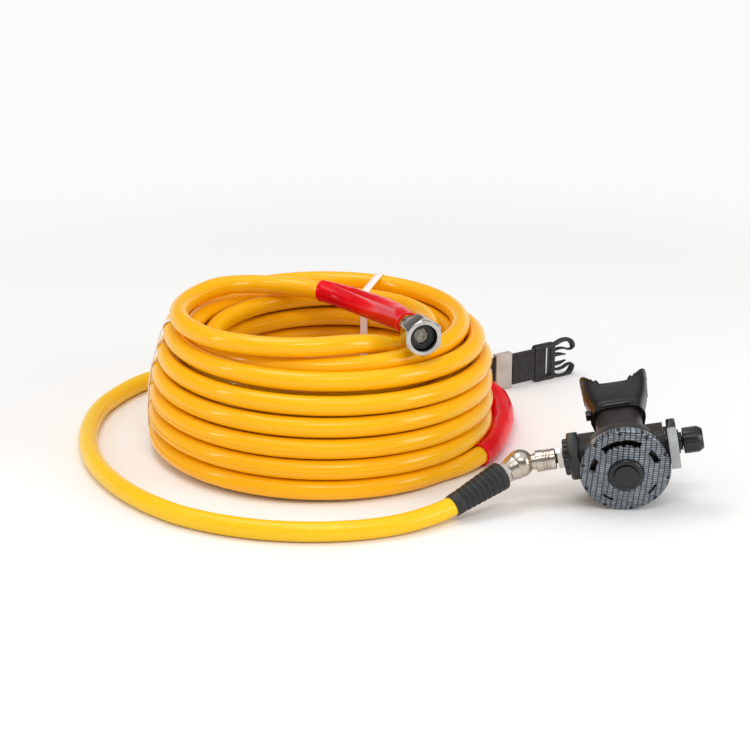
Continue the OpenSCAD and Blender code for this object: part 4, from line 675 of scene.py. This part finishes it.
prongParts = [frameRing]
for flip in (False, True):
    for name, path, profile in (
            ("prongArm", [(58, 33.4), (62, 33.8), (66, 35.2), (71, 36), (77, 35.2), (81, 32), (82.6, 28.4), (82.4, 26)],
             [(0, 1.6, 2.8), (0.6, 1.9, 2.8), (0.8, 2.5, 2.8), (0.95, 2.3, 2.6), (1, 1.2, 2.0)]),
            ("prongSpring", [(58, 27.6), (62, 27.9), (67, 28.4), (72, 27.6), (77, 25.6), (81.6, 25.4)],
             [(0, 1.1, 2.4), (1, 0.9, 2.2)]),
            ("prongGuide", [(58, 22.2), (63, 22.6), (68, 22.3), (74.5, 21)],
             [(0, 1.7, 2.6), (0.5, 1.6, 2.5), (1, 0.5, 1.4)])):
        if flip:
            path = [(x, 36 - z) for x, z in path]
        prongParts.append(bar(name, path, profile))
pick(frameRing)
for o in prongParts:
    o.select_set(True)
bpy.ops.object.join()
smoothByAngle(frameRing, 40)
finishPiece(frameRing, materials["buckleAcetal"], "hoses_and_belt", ("buckle_male",))

# Mouthpiece: a thin rubber shell that grips the mouth tube, widens into two wings and ends in a torn-looking rim
mouth = {"start": 33, "around": 120, "outerRings": 30, "innerRings": 18, "wall": 2.15, "rimWall": 1.5, "power": 3.4,
         "rimHalf": 27.4}
mouthHalves = [(33, 21.5, 15), (40, 21.5, 15), (41.5, 22.2, 15.4), (43.5, 22, 15), (50, 23.6, 14.4), (58, 25.5, 14.1),
               (66, 26.7, 13.9), (74, 27.4, 13.5), (80, 27.4, 13.1), (86, 26.9, 12.6)]
rimHeights = [(0, 65), (9, 65.3), (12.2, 66.3), (13, 70.6), (14.4, 72.2), (15.4, 70.2), (16.6, 71.8), (17.8, 75),
              (19, 74.6), (20.2, 78), (21.4, 78), (22.6, 81), (24, 82.6), (25.6, 85), (27, 86), (28, 86)]


def mouthShell():
    built = bmesh.new()
    count = mouth["around"]
    rims = []
    for k in range(count):
        a = 2 * math.pi * (k + 0.5) / count
        ux = math.copysign(abs(math.cos(a)) ** (2 / mouth["power"]), math.cos(a))
        uy = math.copysign(abs(math.sin(a)) ** (2 / mouth["power"]), math.sin(a))
        rims.append((ux, uy, lookUp(rimHeights, abs(ux) * mouth["rimHalf"])))

    def ring(share, inner):
        points = []
        for ux, uy, rim in rims:
            z = mouth["start"] + (rim - mouth["start"]) * share
            w = lookUp([(h, x) for h, x, y in mouthHalves], z)
            h = lookUp([(height, y) for height, x, y in mouthHalves], z)
            lip = 0.9 * smoothStep(0.9, 0.96, share) * (1 - smoothStep(0.98, 1.01, share))
            grow = -lookUp([(0, mouth["wall"]), (1, mouth["rimWall"])], share) if inner else lip
            points.append(built.verts.new(mouthFrame @ Vector((ux * (w + grow), uy * (h + grow), z))))
        return points

    shares = [1 - (1 - k / mouth["outerRings"]) ** 1.5 for k in range(mouth["outerRings"] + 1)]
    rings = [ring(share, False) for share in shares]
    rings += [ring(1 - k / mouth["innerRings"], True) for k in range(mouth["innerRings"] + 1)]
    for low, high in zip(rings, rings[1:] + rings[:1]):
        for k in range(count):
            built.faces.new((low[k], low[(k + 1) % count], high[(k + 1) % count], high[k])).smooth = True
    bmesh.ops.recalc_face_normals(built, faces=built.faces)
    return linkMesh("mouthShell", built)


shell = mouthShell()
mouthParts = [shell]
for side in (-1, 1):
    for size, place in (((3, 11, 19), (15.2, 0, 69)), ((12, 9, 3), (20.5, 0, 62))):
        deselectAll()
        bpy.ops.mesh.primitive_cube_add(size=1)
        block = bpy.context.object
        block.data.transform(mouthFrame @ Matrix.Translation((side * place[0], place[1], place[2]))
                             @ Matrix.Diagonal((size[0], size[1], size[2], 1)))
        applyModifier(block, "BEVEL", width=0.0012, segments=3)
        mouthParts.append(block)
pick(shell)
for o in mouthParts:
    o.select_set(True)
bpy.ops.object.join()
smoothByAngle(shell, 50)
finishPiece(shell, materials["mouthSilicone"], bodyOf["mouthpiece"], ("mouthpiece",))
print("ties, belt, buckle and mouthpiece made")

# Turned metal: shell of the ball swivel in two halves, and the coupler's ringed sleeve. Places are along the barrel
# from the ball's middle.
swivel = {"shell": 11.5, "cavity": 8.45, "neck": 6.6, "neckEnd": 12.8, "spigot": 4.3, "spigotEnd": 16.8, "bore": 1.8,
          "seam": 0.02, "slotWidth": 6.4, "slotEnd": 24, "overTilt": 5, "cutReach": 20, "cutSteps": 6,
          "sleeveStart": 13.1}
ballFrame = barrelFrame @ Matrix.Translation((0, 0, -regulator["swivelReach"]))


def lathe(name, place, profile, sides=96):
    # profile: radii and places along the axis, round the section
    built = bmesh.new()
    rings = []
    for r, z in profile:
        turns = [2 * math.pi * k / sides for k in range(sides)]
        rings.append([built.verts.new(place @ Vector((r * math.cos(a), r * math.sin(a), z))) for a in turns])
    for low, high in zip(rings, rings[1:] + rings[:1]):
        for k in range(sides):
            built.faces.new((low[k], low[(k + 1) % sides], high[(k + 1) % sides], high[k]))
    bmesh.ops.remove_doubles(built, verts=built.verts, dist=1e-7)
    bmesh.ops.recalc_face_normals(built, faces=built.faces)
    o = linkMesh(name, built)
    smoothByAngle(o, 35)
    return o


def arc(radius, first, last, count):
    # from first to last degrees above the equator
    angles = [math.radians(first + (last - first) * k / count) for k in range(count + 1)]
    return [(radius * math.cos(a), radius * math.sin(a)) for a in angles]


meets = math.degrees(math.acos(swivel["neck"] / swivel["shell"]))
boreMeets = math.degrees(math.acos(swivel["bore"] / swivel["cavity"]))
upperShell = (arc(swivel["shell"], 0, meets, 24)
              + [(swivel["neck"] - 0.5, 10), (swivel["neck"] - 0.5, 10.9), (swivel["neck"], 11.2),
                 (swivel["neck"], swivel["neckEnd"] - 0.2), (swivel["neck"] - 0.2, swivel["neckEnd"]),
                 (swivel["spigot"], swivel["neckEnd"]), (swivel["spigot"], swivel["spigotEnd"]),
                 (swivel["bore"], swivel["spigotEnd"])] + arc(swivel["cavity"], boreMeets, 0, 24))
standFor(lathe("swivelShell", ballFrame, upperShell), "satinNickel", "swivel_housing")
nearPole = -89.99
lowerShell = [(r, z - swivel["seam"])
              for r, z in arc(swivel["shell"], nearPole, 0, 40) + arc(swivel["cavity"], 0, nearPole, 40)]
cap = lathe("swivelCapTurned", ballFrame, lowerShell)
wayHere = regulatorFrame.to_3x3().normalized().inverted() @ hoseEndWay
restTilt = math.degrees(math.acos(wayHere.x))
swingPlane = math.degrees(math.atan2(-wayHere.y, wayHere.z))
cutter = bmesh.new()
slotPlace = ballFrame @ turned("Z", swingPlane) @ turned("X", 90)
slotSweep = restTilt + swivel["overTilt"] + 2 * swivel["slotEnd"]
ends = []
for half in (-swivel["slotWidth"] / 2, swivel["slotWidth"] / 2):
    corners = [Vector((0, 0, half))]
    for k in range(swivel["cutSteps"] + 1):
        t = math.radians(-swivel["slotEnd"] + slotSweep * k / swivel["cutSteps"])
        corners.append(Vector((swivel["cutReach"] * math.sin(t), -swivel["cutReach"] * math.cos(t), half)))
    ends.append([cutter.verts.new(slotPlace @ c) for c in corners])
cutter.faces.new(ends[0])
cutter.faces.new(ends[1][::-1])
for k in range(len(corners)):
    after = (k + 1) % len(corners)
    cutter.faces.new((ends[0][k], ends[1][k], ends[1][after], ends[0][after]))
bmesh.ops.recalc_face_normals(cutter, faces=cutter.faces)
slotCutter = linkMesh("slotCutter", cutter)
applyModifier(cap, "BOOLEAN", object=slotCutter, operation="DIFFERENCE", solver="EXACT")
bpy.data.objects.remove(slotCutter)
standFor(cap, "satinNickel", "swivel_cap")

sleeveRings = [(8.3, 0), (8.8, 0.4), (8.8, 5.8), (8.2, 6.1), (8.2, 6.8), (8.8, 7.1), (8.8, 8.3), (8.2, 8.6), (8.2, 9.2),
               (8.8, 9.5), (8.8, 10.7), (8.2, 11), (8.2, 11.8), (8.7, 12.1), (8.7, 15.6), (8.3, 16), (8, 16), (8, 13),
               (6.65, 13), (6.65, 8), (7.4, 8), (7.4, 0)]
sleevePlace = ballFrame @ Matrix.Translation((0, 0, swivel["sleeveStart"]))
ringed = lathe("coupleSleeveTurned", sleevePlace, sleeveRings)
applyModifier(ringed, "BEVEL", width=0.00008, segments=2, limit_method="ANGLE", angle_limit=math.radians(28))
smoothByAngle(ringed, 35)
standFor(ringed, "satinNickel", "coupler_sleeve")
print("swivel turned, rest tilt", round(restTilt, 2))

# Round the cover: small dark screw heads in the rim's notches, each with a hollow drive
coverScrews = {"count": 10, "ring": 33.7, "head": [(0.02, 0.4), (0.9, 0.35), (1.05, -0.3), (1.8, -0.35), (2.15, -0.05),
                                                   (2.15, 0.9), (0.02, 0.9)]}
for k in range(coverScrews["count"]):
    turn = 2 * math.pi * k / coverScrews["count"]
    place = (regulatorFrame @ Matrix.Translation((coverScrews["ring"] * math.sin(turn), 0,
                                                  coverScrews["ring"] * math.cos(turn))) @ turned("X", -90))
    finishPiece(lathe("coverScrew%d" % k, place, coverScrews["head"], 28), materials["blackAcetal"],
                bodyOf["front_cover"])


# CAD nodes whose shape is right: a copy with soft edges and its real finish
creaseDegrees = 32


def dressNode(node, finish, bevelMm):
    source = nodes[node]
    o = source.copy()
    o.data = source.data.copy()
    o.name = node + "Dressed"
    for key in list(o.keys()):
        if key.startswith("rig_"):
            del o[key]
    o.parent = None
    bpy.context.scene.collection.objects.link(o)
    pick(o)
    bpy.ops.object.mode_set(mode="EDIT")
    bpy.ops.mesh.select_all(action="SELECT")
    bpy.ops.mesh.remove_doubles(threshold=0.000002)
    bpy.ops.mesh.dissolve_limited(angle_limit=math.radians(0.6))
    bpy.ops.object.mode_set(mode="OBJECT")
    applyModifier(o, "BEVEL", width=bevelMm / 1000, segments=2, limit_method="ANGLE",
                  angle_limit=math.radians(creaseDegrees))
    smoothByAngle(o, creaseDegrees)
    standFor(o, finish, node)


dressed = {
    "upper_tail_piece": ("chromePlate", 0.4), "lower_tail_piece": ("chromePlate", 0.4),
    "whip_tail_piece": ("chromePlate", 0.4), "supply_nut": ("chromePlate", 0.5),
    "inlet_gasket": ("mouldedRubber", 0.5), "inlet_screen": ("sinteredScreen", 0.2),
    "hose_boot": ("mouldedRubber", 0.35), "hose_end_fitting": ("chromePlate", 0.3),
    "swivel_stem": ("satinNickel", 0.15), "coupler_body": ("satinNickel", 0.15), "coupler_plug": ("chromePlate", 0.3),
    "inlet_collar": ("blackAcetal", 0.6), "right_collar": ("blackAcetal", 0.4), "dive_collar": ("blackAcetal", 0.6),
    "dive_lever": ("greyNylon", 0.6), "knob_gland": ("blackAcetal", 0.3), "adjust_knob": ("blackAcetal", 0.35),
    "regulator_case": ("glassFilledNylon", 0.6), "front_cover": ("printedCover", 0.45),
    "purge_button": ("blackAcetal", 0.3), "purge_badge": ("blackAcetal", 0.25), "exhaust_tee": ("blackAcetal", 0.5),
    "exhaust_valve": ("clearSilicone", 0.1), "belt_keeper": ("keeperNylon", 0.6),
    "buckle_female": ("buckleAcetal", 0.9), "check_body": ("buckleAcetal", 1.0), "mouthpiece_tie": ("blackAcetal", 0.3),
}
for node, (finish, bevelMm) in dressed.items():
    dressNode(node, finish, bevelMm)
print("nodes dressed:", len(dressed))

# Inner works keep their own meshes
inner = {
    "coupler_balls": "springWire", "coupler_retainer": "springWire", "coupler_spring": "springWire",
    "plug_seal": "mouldedRubber", "valve_barrel": "machinedBrass", "inlet_orifice": "machinedBrass",
    "spring_bridge": "blackAcetal", "purge_spring": "springWire", "diaphragm_ring": "mouthSilicone",
    "diaphragm": "mouthSilicone", "diaphragm_plate": "blackAcetal", "demand_lever": "springWire",
    "lever_pin": "springWire", "poppet": "whiteAcetal", "poppet_seat": "mouldedRubber", "poppet_spring": "springWire",
    "spring_pad": "machinedBrass", "check_poppet": "machinedBrass", "check_spring": "springWire",
}
for node, finish in inner.items():
    mesh = nodes[node].data
    mesh.materials.clear()
    mesh.materials.append(materials[finish])

# Floor, world and lights
studio = {"floorSize": 14, "floorColour": "#F9F9F8", "skyColour": "#FBFBFB", "skyStrength": 0.68,
          "paperNear": 0.5, "paperFar": 1.0}
deselectAll()
bpy.ops.mesh.primitive_plane_add(size=studio["floorSize"], location=(0, 2, 0))
floor = bpy.context.object
floor.name = "floor"
floorMaterial = bpy.data.materials.new("paperSweep")
floorMaterial.use_nodes = True
shader = floorMaterial.node_tree.nodes["Principled BSDF"]
shader.inputs["Base Color"].default_value = linear(studio["floorColour"])
shader.inputs["Roughness"].default_value = 0.85
shader.inputs["Specular IOR Level"].default_value = 0.1
floor.data.materials.append(floorMaterial)
# Further out than paperNear metres the paper turns into the pale backdrop
tree = floorMaterial.node_tree
place = addNode(tree, "ShaderNodeTexCoord").outputs["Object"]
reach = addNode(tree, "ShaderNodeVectorMath", {"operation": "DISTANCE", 1: (-0.05, -2, 0)}, {0: place})
faded = addNode(tree, "ShaderNodeMapRange", {"interpolation_type": "SMOOTHSTEP", "From Min": studio["paperNear"],
                                             "From Max": studio["paperFar"]}, {"Value": reach.outputs["Value"]})
eye = addNode(tree, "ShaderNodeLightPath")
plain = addNode(tree, "ShaderNodeMath", {"operation": "MULTIPLY"}, {0: faded.outputs["Result"],
                                                                    1: eye.outputs["Is Camera Ray"]})
glow = addNode(tree, "ShaderNodeEmission", {"Color": linear(studio["skyColour"]), "Strength": 1.0})
paper = addNode(tree, "ShaderNodeMixShader", links={0: plain.outputs["Value"], 1: shader.outputs["BSDF"],
                                                    2: glow.outputs["Emission"]})
tree.links.new(paper.outputs["Shader"], tree.nodes["Material Output"].inputs["Surface"])

world = bpy.data.worlds.new("studio")
bpy.context.scene.world = world
world.use_nodes = True
tree = world.node_tree
background = tree.nodes["Background"]
background.inputs["Color"].default_value = (1, 1, 1, 1)
background.inputs["Strength"].default_value = studio["skyStrength"]
# The room above the paper: a bright wall, a darker ceiling further up, and a bright panel overhead
skyWay = addNode(tree, "ShaderNodeTexCoord").outputs["Generated"]
aloft = addNode(tree, "ShaderNodeSeparateXYZ", links={"Vector": skyWay})
room = addNode(tree, "ShaderNodeValToRGB", {"stops": [(0.1, studio["skyColour"]), (0.28, "#8C8A88"), (0.6, "#6F6D6B"),
                                                      (0.82, "#F2F2F2")]}, {"Fac": aloft.outputs["Z"]})
seen = addNode(tree, "ShaderNodeBackground", {"Strength": 1.0}, {"Color": room.outputs["Color"]})
rays = addNode(tree, "ShaderNodeLightPath")
mirrored = addNode(tree, "ShaderNodeMath", {"operation": "MAXIMUM"}, {0: rays.outputs["Is Glossy Ray"],
                                                                     1: rays.outputs["Is Transmission Ray"]})
shown = addNode(tree, "ShaderNodeMath", {"operation": "MAXIMUM"}, {0: rays.outputs["Is Camera Ray"],
                                                                  1: mirrored.outputs["Value"]})
blend = addNode(tree, "ShaderNodeMixShader", links={0: shown.outputs["Value"], 1: background.outputs["Background"],
                                                    2: seen.outputs["Background"]})
tree.links.new(blend.outputs["Shader"], tree.nodes["World Output"].inputs["Surface"])

softboxes = [
    {"name": "overheadBox", "place": (-0.45, 0.1, 1.6), "aim": (0, 0, 0), "size": (0.8, 0.6), "watts": 5},
    {"name": "frontStrip", "place": (0.1, -1.1, 1.5), "aim": (0, -0.1, 0.05), "size": (0.9, 0.06), "watts": 5},
    {"name": "leftStrip", "place": (-1.5, -0.5, 0.8), "aim": (0, 0, 0.05), "size": (0.12, 0.7), "watts": 2.5},
    {"name": "rightStrip", "place": (1.5, -0.7, 0.7), "aim": (0, 0, 0.05), "size": (0.6, 0.8), "watts": 8},
]
for box in softboxes:
    lamp = bpy.data.lights.new(box["name"], "AREA")
    lamp.shape = "RECTANGLE"
    lamp.size, lamp.size_y = box["size"]
    lamp.energy = box["watts"]
    o = bpy.data.objects.new(box["name"], lamp)
    bpy.context.scene.collection.objects.link(o)
    o.location = box["place"]
    o.rotation_euler = (Vector(box["aim"]) - Vector(box["place"])).to_track_quat("-Z", "Y").to_euler()
print("studio set")
